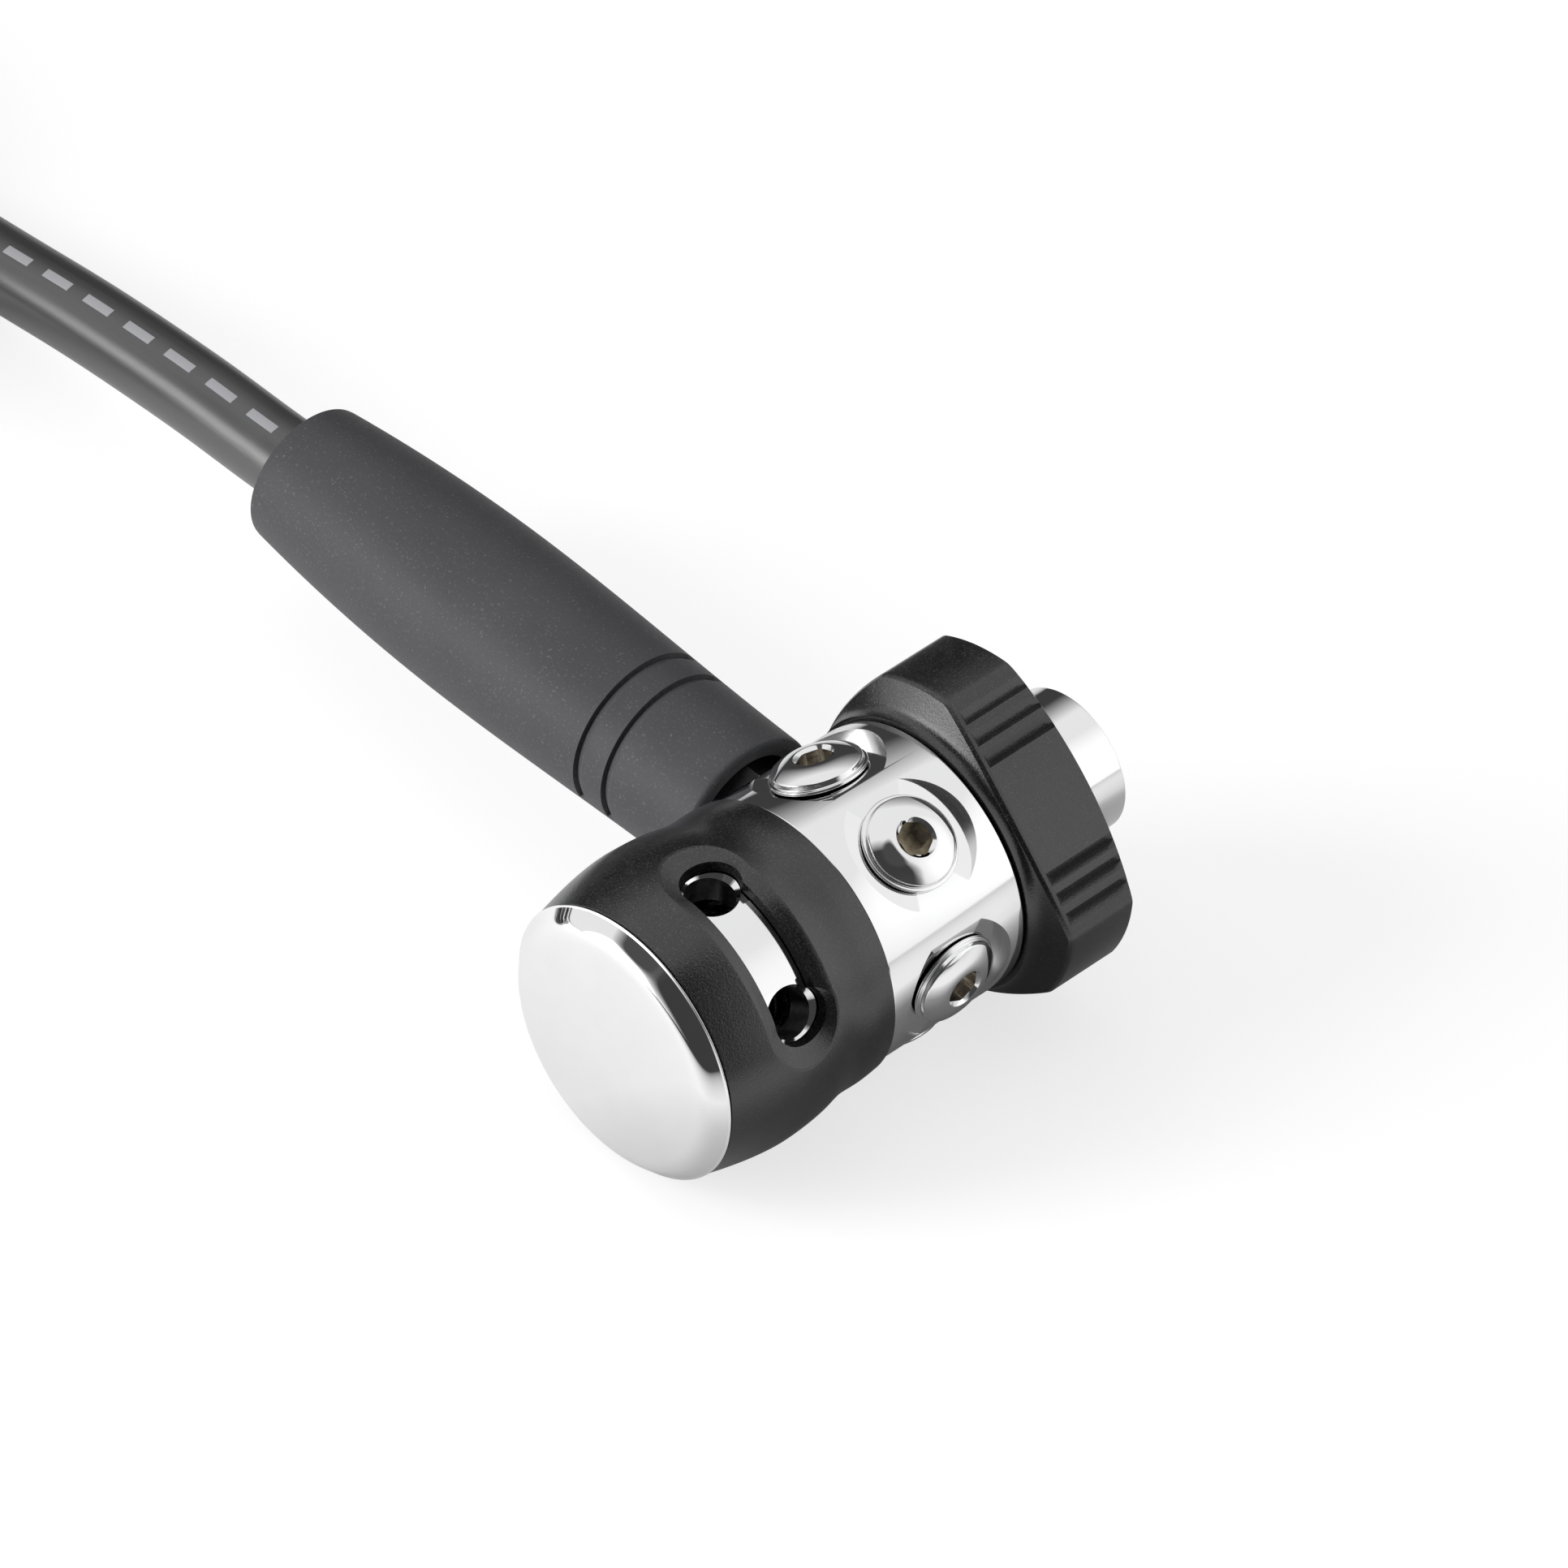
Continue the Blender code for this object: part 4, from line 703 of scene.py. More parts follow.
places = set(np.linspace(SLEEVE_START + MOUTH_EDGE, SLEEVE_TIP - TIP_EDGE, SLEEVE_STEPS))
for wall in STEP_WALLS:
    places.update(wall - STEP_RAMP * share for share in RAMP_SHARES)
    places.update(wall + STEP_WALL * share for share in WALL_SHARES)
rings = []
for place in sorted(places):
    ring = []
    for i in range(SLEEVE_SIDES):
        turn = 2 * math.pi * i / SLEEVE_SIDES
        radius = sleeve_radius(place) - step_depth(place, turn)
        ring.append((radius * math.cos(turn), radius * math.sin(turn), place))
    rings.append(ring)
tip_bore = HOSE / 2 + GAP
tip_end = stairs(tip, SLEEVE_TIP - TIP_EDGE, SLEEVE_TIP, tip_bore, FERRULE_END + SLEEVE_NECK)
mouth_end = stairs(
    SLEEVE_BORE, FERRULE_END + GAP, SLEEVE_START, mouth, SLEEVE_START + MOUTH_EDGE
)
soft_ends = rounded(tip_end, TIP_EDGE, loop=False)[1:]
soft_ends += rounded(mouth_end, MOUTH_EDGE, loop=False, steps=8)[:-1]
rings += [circle(radius, place, SLEEVE_SIDES) for radius, place in soft_ends]
mesh = skin("sleeve", rings, loop=True, sharp=22.0)
sleeve = add_piece(
    "sleeve", mesh, SLEEVE_RUBBER, "hose_protector", slot="protector_rubber", place=HOSE_PORT
)

# %% [markdown]
# ## End cap
#
# The cap is a polished dome. Its crown is so shallow that it mirrors one patch of the table,
# and only the rolled edge sweeps over the whole room. The outline is found by adding up its slope
# from the lip inwards, in many small steps, because the slope and not the height is what a mirror
# shows.

# %% Make the cap
CAP_RADIUS = 20.4 * MM
CAP_CROWN_SLOPE = 0.09
CAP_ROLL = 0.74
CAP_ROLL_RANGE = (0.79, 0.96)
CAP_LIP = 0.12 * MM
CAP_EDGE = 0.06 * MM
CAP_CEILING = 0.5 * MM
CAP_SIDES = 256
CAP_STEPS = 90
SKIRT_RADIUS = 14.2 * MM
SKIRT_BORE = 11.2 * MM
SKIRT_LENGTH = 8.5 * MM
SKIRT_GROOVE, SKIRT_LOW, SKIRT_HIGH = 12.4 * MM, 2.0 * MM, 4.1 * MM

outline = [(0, CAP_CEILING)] + stairs(
    SKIRT_BORE, CAP_CEILING, SKIRT_LENGTH, SKIRT_RADIUS, SKIRT_HIGH, SKIRT_GROOVE, SKIRT_LOW,
    SKIRT_RADIUS, 0, CAP_RADIUS, -CAP_LIP,
)
outline.append((CAP_RADIUS - CAP_LIP, -1.6 * CAP_LIP))
outline = rounded(outline, CAP_EDGE, loop=False)
dome = CAP_RADIUS - 2 * CAP_LIP
drop = 2 * CAP_LIP
shares = 1 - np.linspace(0, 1, CAP_STEPS) ** 1.6
for outer, inner in zip(shares, shares[1:]):
    tilt = CAP_CROWN_SLOPE * inner + CAP_ROLL * smooth_step(inner, *CAP_ROLL_RANGE)
    drop += math.tan(tilt) * (outer - inner) * dome
    outline.append((dome * inner, -drop))
add_piece("cap", lathe("cap", outline, CAP_SIDES), CHROME, "end_cap")
print(f"the dome rises {drop / MM:.2f} mm")

# %% [markdown]
# ## Main body
#
# The body is one piece of brass, turned from a bar with its chambers bored out along the axis. One
# outline that runs up the outside and down the bores gives both at once.

# %% Turn the body
BODY_RADIUS = 20.2 * MM
BODY_END = 53.6 * MM
BODY_EDGE = 0.35 * MM
BODY_SIDES = 288
SHOULDER = 29.6 * MM
CHAMBER_RADIUS = 19.0 * MM
CHAMBER_BORE = 14.5 * MM
CHAMBER_END = SHOULDER - 1.0 * MM
PISTON_BORE = 4.0 * MM
SEAT_BORE, SEAT_LOW, SEAT_HIGH = 9.0 * MM, 35.1 * MM, 46.8 * MM
NOZZLE_BORE, NOZZLE_END = 5.2 * MM, 48.0 * MM
INLET_BORE = 7.3 * MM

outline = stairs(
    BODY_RADIUS, BODY_END, SHOULDER, CHAMBER_RADIUS, GAP, CHAMBER_BORE, CHAMBER_END, PISTON_BORE,
    SEAT_LOW, SEAT_BORE, SEAT_HIGH, NOZZLE_BORE, NOZZLE_END, INLET_BORE, BODY_END,
)
mesh = lathe("body", rounded(outline, BODY_EDGE), BODY_SIDES)
body = add_piece("body", mesh, TURNED_CHROME, "main_body")

# %% [markdown]
# ## Ports in the body
#
# Round flats are milled for six ports, and four countersunk holes let the water in. Cutters carve
# them in the order of the real work, which keeps the turned surface true between them. A cutter
# is taken away once its cut is kept in the mesh.

# %% Carve the ports
PLUG_ANGLES = (-27.5, 27.5, 92.0, 152.5, -152.5)
PORT_ANGLES = PLUG_ANGLES + (HOSE_ANGLE,)
PORT_FLAT = 18.45 * MM
PORT_BORE = 4.8 * MM
PORT_BOTTOM = 11.05 * MM
SPOT_FACE = 9.4 * MM
DUCT_BORE, DUCT_BOTTOM = 2.6 * MM, 8.4 * MM
WATER_HEIGHT = 13.8 * MM
WATER_RADIUS = 3.5 * MM
WATER_BEVEL = 0.7 * MM
WATER_BOTTOM = 7.0 * MM
WATER_SPREAD = 30.0
WINDOW_ANGLES = (30.0, 210.0)
OVERCUT = 2.0 * MM
PORT_SIDES, WATER_SIDES = 160, 96


def carve(piece, cutters, sharp=30.0):
    """Cuts the cutters out of a piece, keeps the result and removes the cutters."""
    for cutter in cutters:
        hole = piece.modifiers.new("carve", "BOOLEAN")
        hole.operation = "DIFFERENCE"
        hole.solver = "EXACT"
        hole.object = cutter
    graph = bpy.context.evaluated_depsgraph_get()
    carved = bpy.data.meshes.new_from_object(piece.evaluated_get(graph))
    piece.modifiers.clear()
    piece.data = carved
    for cutter in cutters:
        bpy.data.objects.remove(cutter)
    shade(carved, sharp)
    print(f"{piece.name}: {len(carved.polygons)} faces after carving")


outside = BODY_RADIUS + OVERCUT
port_cut = [(0, outside)] + stairs(
    SPOT_FACE, outside, PORT_FLAT, PORT_BORE, PORT_BOTTOM, DUCT_BORE, DUCT_BOTTOM, 0
)
cutters = []
for angle in PORT_ANGLES:
    cutters.append(put("port", lathe("port", port_cut, PORT_SIDES), port_place(angle)))
countersink = CHAMBER_RADIUS + WATER_BEVEL
water_cut = [(0, countersink), (WATER_RADIUS + 2 * WATER_BEVEL, countersink)]
water_cut += [(WATER_RADIUS, CHAMBER_RADIUS - WATER_BEVEL)]
water_cut += [(WATER_RADIUS, WATER_BOTTOM), (0, WATER_BOTTOM)]
for window in WINDOW_ANGLES:
    for side in (-1, 1):
        place = port_place(window + side * WATER_SPREAD, WATER_HEIGHT)
        cutters.append(put("water", lathe("water", water_cut, WATER_SIDES), place))
carve(body, cutters)

# %% [markdown]
# ## Finishes on the body
#
# The plating is thin deep inside the bores and dull on the milled walls of the flats. Both are
# found by where a face lies, so the body stays one piece with three finishes.

# %% Finish the body's faces
CHAMBER_SKIN = 17.0 * MM
WALL_WIDTH = 0.02 * MM

body.data.materials.append(CHAMBER)
body.data.materials.append(MILLED_CHROME)
into_port = [port_place(angle).inverted() @ AXIS for angle in PORT_ANGLES]
for face in body.data.polygons:
    if math.hypot(face.center.x, face.center.y) < CHAMBER_SKIN:
        face.material_index = 1
    for place in into_port:
        spot = place @ face.center
        if spot.z > PORT_FLAT and abs(math.hypot(spot.x, spot.y) - SPOT_FACE) < WALL_WIDTH:
            face.material_index = 2
milled = sum(face.material_index == 2 for face in body.data.polygons)
print("milled faces:", milled)

# %% [markdown]
# ## Collar
#
# The collar is a barrel of black plastic that guards the water ports. A curve through a few
# stations gives its bulge, and the lathe turns it. The radius at any height is kept as a function,
# because the windows that are cut next have to follow the barrel.

# %% Turn the collar
COLLAR_LENGTH = 29.0 * MM
COLLAR_BORE = 19.3 * MM
COLLAR_EDGE = 0.25 * MM
COLLAR_SIDES = 288
COLLAR_STATIONS = (
    (0.0, 0.1), (0.12, 0.9), (0.25, 1.6), (0.38, 2.0), (0.5, 1.94),
    (0.62, 1.6), (0.76, 0.85), (0.9, 0.85), (1.0, 0.6),
)

stations = []
for share, stand in COLLAR_STATIONS:
    stations.append(Vector((BODY_RADIUS + stand * MM, GAP + share * COLLAR_LENGTH)))
barrel = bowed(stations, 8)
barrel_radii, barrel_heights = np.array(barrel).T


def barrel_radius(height):
    return float(np.interp(height, barrel_heights, barrel_radii))


outline = barrel[::-1] + [Vector((COLLAR_BORE, GAP)), Vector((COLLAR_BORE, GAP + COLLAR_LENGTH))]
mesh = lathe("collar_shell", rounded(outline, COLLAR_EDGE, steps=10), COLLAR_SIDES)
collar = add_piece("collar_shell", mesh, BLACK_PLASTIC, "collar", slot="black_plastic")

# %% [markdown]
# ## The outline of a window
#
# Each of the two windows is a long bevelled dish with two round eyes at its foot. A dish could be
# modelled by hand, but cutting it keeps the barrel's curve untouched. The outline pairs each point
# of the foot with one of the top, so that a straight bevel can climb between the two.

# %% Outline a window
WINDOW_TOP = BODY_RADIUS + 2.0 * MM
WINDOW_HALF = 7.3 * MM
WINDOW_FOOT = COLLAR_BORE + 1.6 * MM
EYE_RADIUS = 4.35 * MM
FRONT_SLOT = 4.25 * MM
REAR_SLOT = 3.5 * MM


def window_side(slot_half, side):
    """Pairs of (turn, height) at the foot and at the top, along one long side of a window."""
    reach = math.radians(WATER_SPREAD)
    eye_turn = math.asin(slot_half / EYE_RADIUS)
    pairs = []
    for share in np.linspace(0, 1, 21):
        eye = math.pi - share * (math.pi - eye_turn)
        rim = math.pi - share * math.pi / 2
        foot = (EYE_RADIUS * math.cos(eye), EYE_RADIUS * math.sin(eye))
        top = (WINDOW_HALF * math.cos(rim), WINDOW_HALF * math.sin(rim))
        pairs.append((foot, top))
    ends = [
        [Vector((along / WINDOW_TOP - reach, WATER_HEIGHT + side * half)) for along, half in pair]
        for pair in pairs
    ]
    foot, top = ends[-1]
    middle = []
    for share in np.linspace(1, -1, 24)[1:-1]:
        middle.append([Vector((foot.x * share, foot.y)), Vector((top.x * share, top.y))])
    mirrored = [[Vector((-end.x, end.y)) for end in pair] for pair in reversed(ends)]
    return ends + middle + mirrored


front, rear = window_side(FRONT_SLOT, -1), window_side(REAR_SLOT, 1)
print("points round a window:", len(front) + len(rear) - 2)

# %% [markdown]
# ## Cutting the windows
#
# The cutter is a curved strip. Every point of its outline climbs the bevel from the foot, and a
# search finds where that bevel leaves the barrel. There the cutter flares out, which breaks the
# rim as moulds do.

# %% Cut the windows
RIM_BREAK = 0.12 * MM
RIM_STEPS = ((-0.8, -0.8), (0.6, -0.1), (2.0, 0.6))
RIM_FLARE = 3.0
BELOW_BORE = 1.0 * MM
ABOVE_TOP = 0.6 * MM
HIGHEST_CLIMB = 1.6
SEARCH_ROUNDS = 30


def bevel_levels(foot, top):
    """(turn, height, radius) from under the bore, up the bevel and out past the barrel."""

    def on_bevel(climb):
        return foot.lerp(top, climb), WINDOW_FOOT + (WINDOW_TOP - WINDOW_FOOT) * climb

    low, high = 0.0, HIGHEST_CLIMB
    for _ in range(SEARCH_ROUNDS):
        climb = (low + high) / 2
        spot, radius = on_bevel(climb)
        low, high = (climb, high) if radius < barrel_radius(spot.y) else (low, climb)
    outward = (top - foot) / (WINDOW_TOP - WINDOW_FOOT) * RIM_BREAK
    levels = [(foot, COLLAR_BORE - BELOW_BORE), (foot, WINDOW_FOOT)]
    levels += [on_bevel(low * share) for share in (0.3, 0.6)]
    rim, rim_radius = on_bevel(low)
    for out, rise in RIM_STEPS:
        levels.append((rim + outward * out, rim_radius + RIM_BREAK * rise))
    levels.append((rim + outward * RIM_FLARE, WINDOW_TOP + ABOVE_TOP))
    return [(spot.x, spot.y, radius) for spot, radius in levels]


def window_mesh():
    """The cutter: each ring runs along the front side and back along the rear side."""
    columns = [bevel_levels(*pair) for pair in front + rear[-2:0:-1]]
    rings = []
    for row in zip(*columns):
        rings.append([(r * math.sin(turn), -r * math.cos(turn), height) for turn, height, r in row])
    build = bmesh.new()
    rows = join_rings(build, rings)
    for row in (rows[0], rows[-1]):
        for i in range(len(row) // 2):
            corners = (row[i], row[i + 1], row[-i - 1], row[-i] if i else row[0])
            build.faces.new(list(dict.fromkeys(corners)))
    return keep_mesh(build, "window")


turned = [AXIS @ Matrix.Rotation(math.radians(angle), 4, "Z") for angle in WINDOW_ANGLES]
carve(collar, [put("window", window_mesh(), place) for place in turned], sharp=12.0)

# %% [markdown]
# ## The outline of the handwheel
#
# The wheel has three lobes with a gently curved flat between each two. Its radius is worked out
# for every half degree, and a short running mean takes the sharpness off the corners.

# %% Outline the wheel
FLAT_RADIUS = 21.3 * MM
LOBE_RADIUS = 25.15 * MM
LOBE_HALF = math.radians(14.5)
WHEEL_PHASE = math.radians(-17.7)
WHEEL_COUNT = 720
THIRD = 2 * math.pi / 3

corner = THIRD / 2 - LOBE_HALF
bow = FLAT_RADIUS - LOBE_RADIUS * math.cos(corner)
flat_radius = ((LOBE_RADIUS * math.sin(corner)) ** 2 + bow ** 2) / (2 * bow)
flat_centre = FLAT_RADIUS - flat_radius
turns = np.arange(WHEEL_COUNT) * 2 * math.pi / WHEEL_COUNT
off_flat = (turns - WHEEL_PHASE) % THIRD - THIRD / 2
chord = np.sqrt(flat_radius ** 2 - (flat_centre * np.sin(off_flat)) ** 2)
flat = flat_centre * np.cos(off_flat) + chord
reach = np.where(np.abs(off_flat) < corner, flat, LOBE_RADIUS)
for width in (2, 1):
    reach = sum(np.roll(reach, k) for k in range(-width, width + 1)) / (2 * width + 1)
print("wheel radius in mm:", round(reach.min() / MM, 2), "to", round(reach.max() / MM, 2))

# %% [markdown]
# ## The handwheel
#
# A cove leads from the round hub to the sloping face of each lobe, a narrow bevel breaks the front
# edge and a wide one the rear edge. Each ring of the skin scales the outline to its own place on
# this profile, so the cove and the bevels follow the lobes.

# %% Make the wheel
WHEEL_FRONT = 53.9 * MM
WHEEL_REAR = 69.6 * MM
WHEEL_BORE = 12.3 * MM
HUB_RADIUS = 20.6 * MM
HUB_EDGE = 0.3 * MM
COVE_DEPTH = 1.6 * MM
COVE_WIDTH = 1.3 * MM
COVE_ROOM = 0.1 * MM
FACE_SLOPE = 0.5
FRONT_BEVEL = 0.3 * MM
REAR_BEVEL = 0.9 * MM
REAR_BEVEL_RUN = 0.6 * MM


def face_height(radius):
    """The height of the lobes' sloping face at a distance from the axis."""
    return WHEEL_FRONT + COVE_DEPTH + FACE_SLOPE * (radius - FLAT_RADIUS)


stations = [(WHEEL_BORE, WHEEL_FRONT), (HUB_RADIUS - HUB_EDGE, WHEEL_FRONT)]
cove_end = HUB_RADIUS + np.minimum(COVE_WIDTH, reach - HUB_RADIUS - FRONT_BEVEL - COVE_ROOM)
for t in np.linspace(0, 1, 9):
    radius = HUB_RADIUS * (1 - t * t) + cove_end * t * t
    height = (1 - t) ** 2 * WHEEL_FRONT + 2 * t * (1 - t) * face_height(HUB_RADIUS)
    stations.append((radius, height + t * t * face_height(cove_end)))
rim = face_height(reach)
edge = reach - FRONT_BEVEL
for share in (0.5, 0.9, 1.0):
    radius = cove_end + (edge - cove_end) * share
    stations.append((radius, face_height(radius)))
stations.append((edge + 0.15 * FRONT_BEVEL, face_height(edge) + 0.2 * FRONT_BEVEL))
stations.append((reach - 0.1 * FRONT_BEVEL, rim + 1.2 * FRONT_BEVEL))
land_start = rim + 1.6 * FRONT_BEVEL
land_end = WHEEL_REAR - REAR_BEVEL_RUN
for share in (0.0, 0.05, 0.35, 0.65, 0.97, 1.0):
    stations.append((reach, land_start + (land_end - land_start) * share))
for share in (0.08, 0.5, 1.0):
    stations.append((reach - REAR_BEVEL * share, land_end + REAR_BEVEL_RUN * share))
stations.append((WHEEL_BORE, WHEEL_REAR))
rings = []
for radius, height in stations:
    ring = np.broadcast_arrays(radius * np.sin(turns), -radius * np.cos(turns), height)
    rings.append(np.stack(ring, axis=1))
mesh = skin("wheel", rings, loop=True)
wheel = add_piece(
    "wheel", mesh, BLACK_PLASTIC, "handwheel_grip", body="handwheel", slot="black_plastic"
)

# %% [markdown]
# ## Grooves for the fingers
#
# Three V grooves lie beside each corner of the wheel. They start behind the front edge in a small
# sloping triangle and run out through the rear bevel. Each is cut by a wedge of six corners: one
# cutter holds all eighteen wedges, which don't touch each other.

# %% Cut the grooves
GROOVE_PLACES = (2.75 * MM, 5.85 * MM, 8.95 * MM)
GROOVE_DEPTH = 0.9 * MM
GROOVE_SIDES = (-1.4 * MM, 0.7 * MM)
GROOVE_SHIFT = 0.35 * MM
GROOVE_START = 1.0 * MM
GROOVE_RUN = 1.5 * MM
GROOVE_PROUD = 0.3 * MM
GROOVE_END = WHEEL_REAR + 1.0 * MM

lift = (GROOVE_DEPTH + GROOVE_PROUD) / GROOVE_DEPTH
wedge = ((0.0, 0.0), (GROOVE_SIDES[0], lift), (GROOVE_SIDES[1], lift))
wedges = bmesh.new()
for third in range(3):
    turned = Matrix.Rotation(WHEEL_PHASE + THIRD * (third + 0.5) - math.pi / 2, 2)
    for hand in (-1, 1):
        for place in GROOVE_PLACES:
            aside = hand * (LOBE_RADIUS * math.sin(corner) - place) + GROOVE_SHIFT
            out = Vector((math.sqrt(flat_radius ** 2 - aside ** 2), aside)) / flat_radius
            bottom = Vector((flat_centre, 0)) + out * (flat_radius - GROOVE_DEPTH)
            along = Vector((-out.y, out.x))
            front, rear = [], []
            for side, rise in wedge:
                point = bottom + (out * GROOVE_DEPTH + along * side) * rise
                start = face_height(point.length) + GROOVE_START + GROOVE_RUN * (1 - rise)
                point = turned @ point
                front.append(wedges.verts.new((point.x, point.y, start)))
                rear.append(wedges.verts.new((point.x, point.y, GROOVE_END)))
            wedges.faces.new(front)
            wedges.faces.new(rear)
            for i in range(3):
                wedges.faces.new((front[i - 1], front[i], rear[i], rear[i - 1]))
carve(wheel, [put("grooves", keep_mesh(wedges, "grooves"), AXIS)], sharp=20.0)

# %% [markdown]
# ## Spigot
#
# The wheel drives a chrome spigot that screws into a tank's valve. A real spigot has a thread; it
# is hidden behind the wheel in the photograph, so the spigot is left smooth.

# %% Make the spigot
SPIGOT_RADIUS = 10.7 * MM
SPIGOT_END = 82.0 * MM
SPIGOT_BORE = 7.3 * MM
SPIGOT_EDGE = 0.25 * MM
SPIGOT_SIDES = 224
FLANGE_RADIUS, FLANGE_START = 12.0 * MM, 54.8 * MM
STEM_HEAD = 8.6 * MM
STEM_HEAD_START = 75.2 * MM

flange_end, head_room = WHEEL_REAR - GAP, STEM_HEAD_START - GAP
outline = stairs(
    SPIGOT_RADIUS, SPIGOT_END, flange_end, FLANGE_RADIUS, FLANGE_START, SPIGOT_BORE, head_room,
    STEM_HEAD + GAP, SPIGOT_END,
)
mesh = lathe("spigot", rounded(outline, SPIGOT_EDGE), SPIGOT_SIDES)
add_piece("spigot", mesh, TURNED_CHROME, "handwheel_core", body="handwheel")

# %% [markdown]
# ## Inlet stem
#
# The stem inside the spigot leads the gas to the body. Its head has a groove for the ring that
# seals on the valve and a pocket for the filter, and its foot has a groove for a second ring.

# %% Make the inlet stem
STEM_END = 82.8 * MM
STEM_RADIUS = 7.0 * MM
STEM_BORE = 3.2 * MM
STEM_FOOT = 50.4 * MM
STEM_EDGE = 0.2 * MM
STEM_SIDES = 160
POCKET, POCKET_BOTTOM = 4.7 * MM, 73.0 * MM
FOOT_GROOVE, FOOT_LOW, FOOT_HIGH = 5.5 * MM, 51.6 * MM, 53.4 * MM
FACE_IN, FACE_OUT, FACE_BOTTOM = 5.7 * MM, 7.6 * MM, 81.5 * MM

outline = stairs(
    STEM_HEAD, STEM_END, STEM_HEAD_START, STEM_RADIUS, FOOT_HIGH, FOOT_GROOVE, FOOT_LOW,
    STEM_RADIUS, STEM_FOOT, STEM_BORE, POCKET_BOTTOM, POCKET, STEM_END, FACE_IN, FACE_BOTTOM,
    FACE_OUT, STEM_END,
)
mesh = lathe("stem", rounded(outline, STEM_EDGE), STEM_SIDES)
add_piece("stem", mesh, CHROME, "inlet_stem")

# %% [markdown]
# ## Port plugs
#
# Each unused port is closed by a button-head plug: a thin flange, a domed head and a hexagon
# socket. The rings start as rounded hexagons in the socket and become circles at its bevel.
# The floor of the socket has been touched by keys and shows the brass, so it gets its own look.

# %% Shape a plug
PLUG_FLANGE = 6.9 * MM
PLUG_HEAD = 6.35 * MM
PLUG_SHANK = 4.5 * MM
PLUG_FOOT = 12.05 * MM
PLUG_GROOVE, PLUG_LOW, PLUG_HIGH = 3.2 * MM, 16.55 * MM, 18.15 * MM
PLUG_SEAT = PORT_FLAT + GAP
PLUG_EDGE = 0.3 * MM
FLANGE_HEIGHT, HEAD_SIDE, DOME_HEIGHT = 0.5 * MM, 0.8 * MM, 1.3 * MM
DOME_POWER = 1.7
PLUG_SIDES = 144
SOCKET_WIDTH = 4.6 * MM
SOCKET_RIM = 2.9 * MM
SOCKET_DEPTH = 3.4 * MM
SOCKET_BEVEL = 0.2 * MM, 0.45 * MM


def hexagon(width, height, softness=0.94):
    """A ring on a hexagon, measured across its flats, with its corners slightly rounded."""
    sector = math.pi / 3
    ring = []
    for i in range(PLUG_SIDES):
        turn = 2 * math.pi * i / PLUG_SIDES
        radius = width / 2 / math.cos(turn % sector - sector / 2)
        radius = min(radius, width / 2 / math.cos(math.pi / 6) * softness)
        ring.append((radius * math.cos(turn), radius * math.sin(turn), height))
    return ring


flange_top = PLUG_SEAT + FLANGE_HEIGHT
head_rim = flange_top + HEAD_SIDE
head_top = head_rim + DOME_HEIGHT
outline = []
for share in np.linspace(0, 1, 14):
    radius = SOCKET_RIM + (PLUG_HEAD - SOCKET_RIM) * share
    outline.append((radius, head_rim + (head_top - head_rim) * (1 - share ** DOME_POWER)))
outline += stairs(
    PLUG_HEAD, head_rim, flange_top, PLUG_FLANGE, PLUG_SEAT, PLUG_SHANK, PLUG_HIGH, PLUG_GROOVE,
    PLUG_LOW, PLUG_SHANK, PLUG_FOOT, 0,
)[1:]
socket_floor = head_top - SOCKET_DEPTH
rings = [[(0, 0, socket_floor)], hexagon(SOCKET_WIDTH, socket_floor)]
rings += [hexagon(SOCKET_WIDTH, head_top - SOCKET_BEVEL[1])]
rings += [circle(SOCKET_RIM - SOCKET_BEVEL[0], head_top - SOCKET_BEVEL[0], PLUG_SIDES)]
outline = rounded(outline, PLUG_EDGE, loop=False)
rings += [circle(radius, height, PLUG_SIDES) for radius, height in outline]
print("rings of a plug:", len(rings))

# %% [markdown]
# ## Setting the plugs
#
# Five of the six ports have a plug. All are the same piece, so one set of rings serves them all,
# and each gets a mesh of its own because each rides in its own place.

# %% Set the plugs
SAME_PLACE = 0.01 * MM

for number, angle in enumerate(PLUG_ANGLES, start=1):
    mesh = skin(f"plug_{number}", rings)
    add_piece(f"plug_{number}", mesh, CHROME, f"port_plug_{number}", place=port_place(angle))
    mesh.materials.append(SOCKET)
    for face in mesh.polygons:
        if abs(face.center.z - socket_floor) < SAME_PLACE:
            face.material_index = 1

# %% [markdown]
# ## The hose's far end
#
# Out of the photograph's view the hose ends in a crimped ferrule, a stem with a sealing ring
# and a nut that turns freely on it. Ferrule and stem are turned from the sizes of the solids, and
# two soft waists show where the ferrule was crimped.

# %% Make the ferrule and the stem
FAR_END = Matrix.Translation(hose_path[-1] + Vector((GAP, 0, 0)))
FAR_END = FAR_END @ Matrix.Rotation(math.pi / 2, 4, "Y")
FERRULE_RADIUS = 7.9 * MM
FERRULE_LENGTH = 20.7 * MM
FERRULE_EDGE = 0.4 * MM
FERRULE_SIDES, TAIL_SIDES = 128, 96
CRIMP_DEPTH = 0.6 * MM
CRIMP_PLACES = (0.65, 0.35)
CRIMP_WIDTH = 0.07
TAIL_EDGE = 0.2 * MM
TAIL_MM = (
    (4.2, 31.3), (4.2, 28.7), (2.9, 28.7), (2.9, 27.1), (4.2, 27.1), (5.7, 26.35),
    (5.7, 25.6), (4.2, 25.6), (4.2, 21.0), (1.4, 21.0), (1.4, 31.3),
)

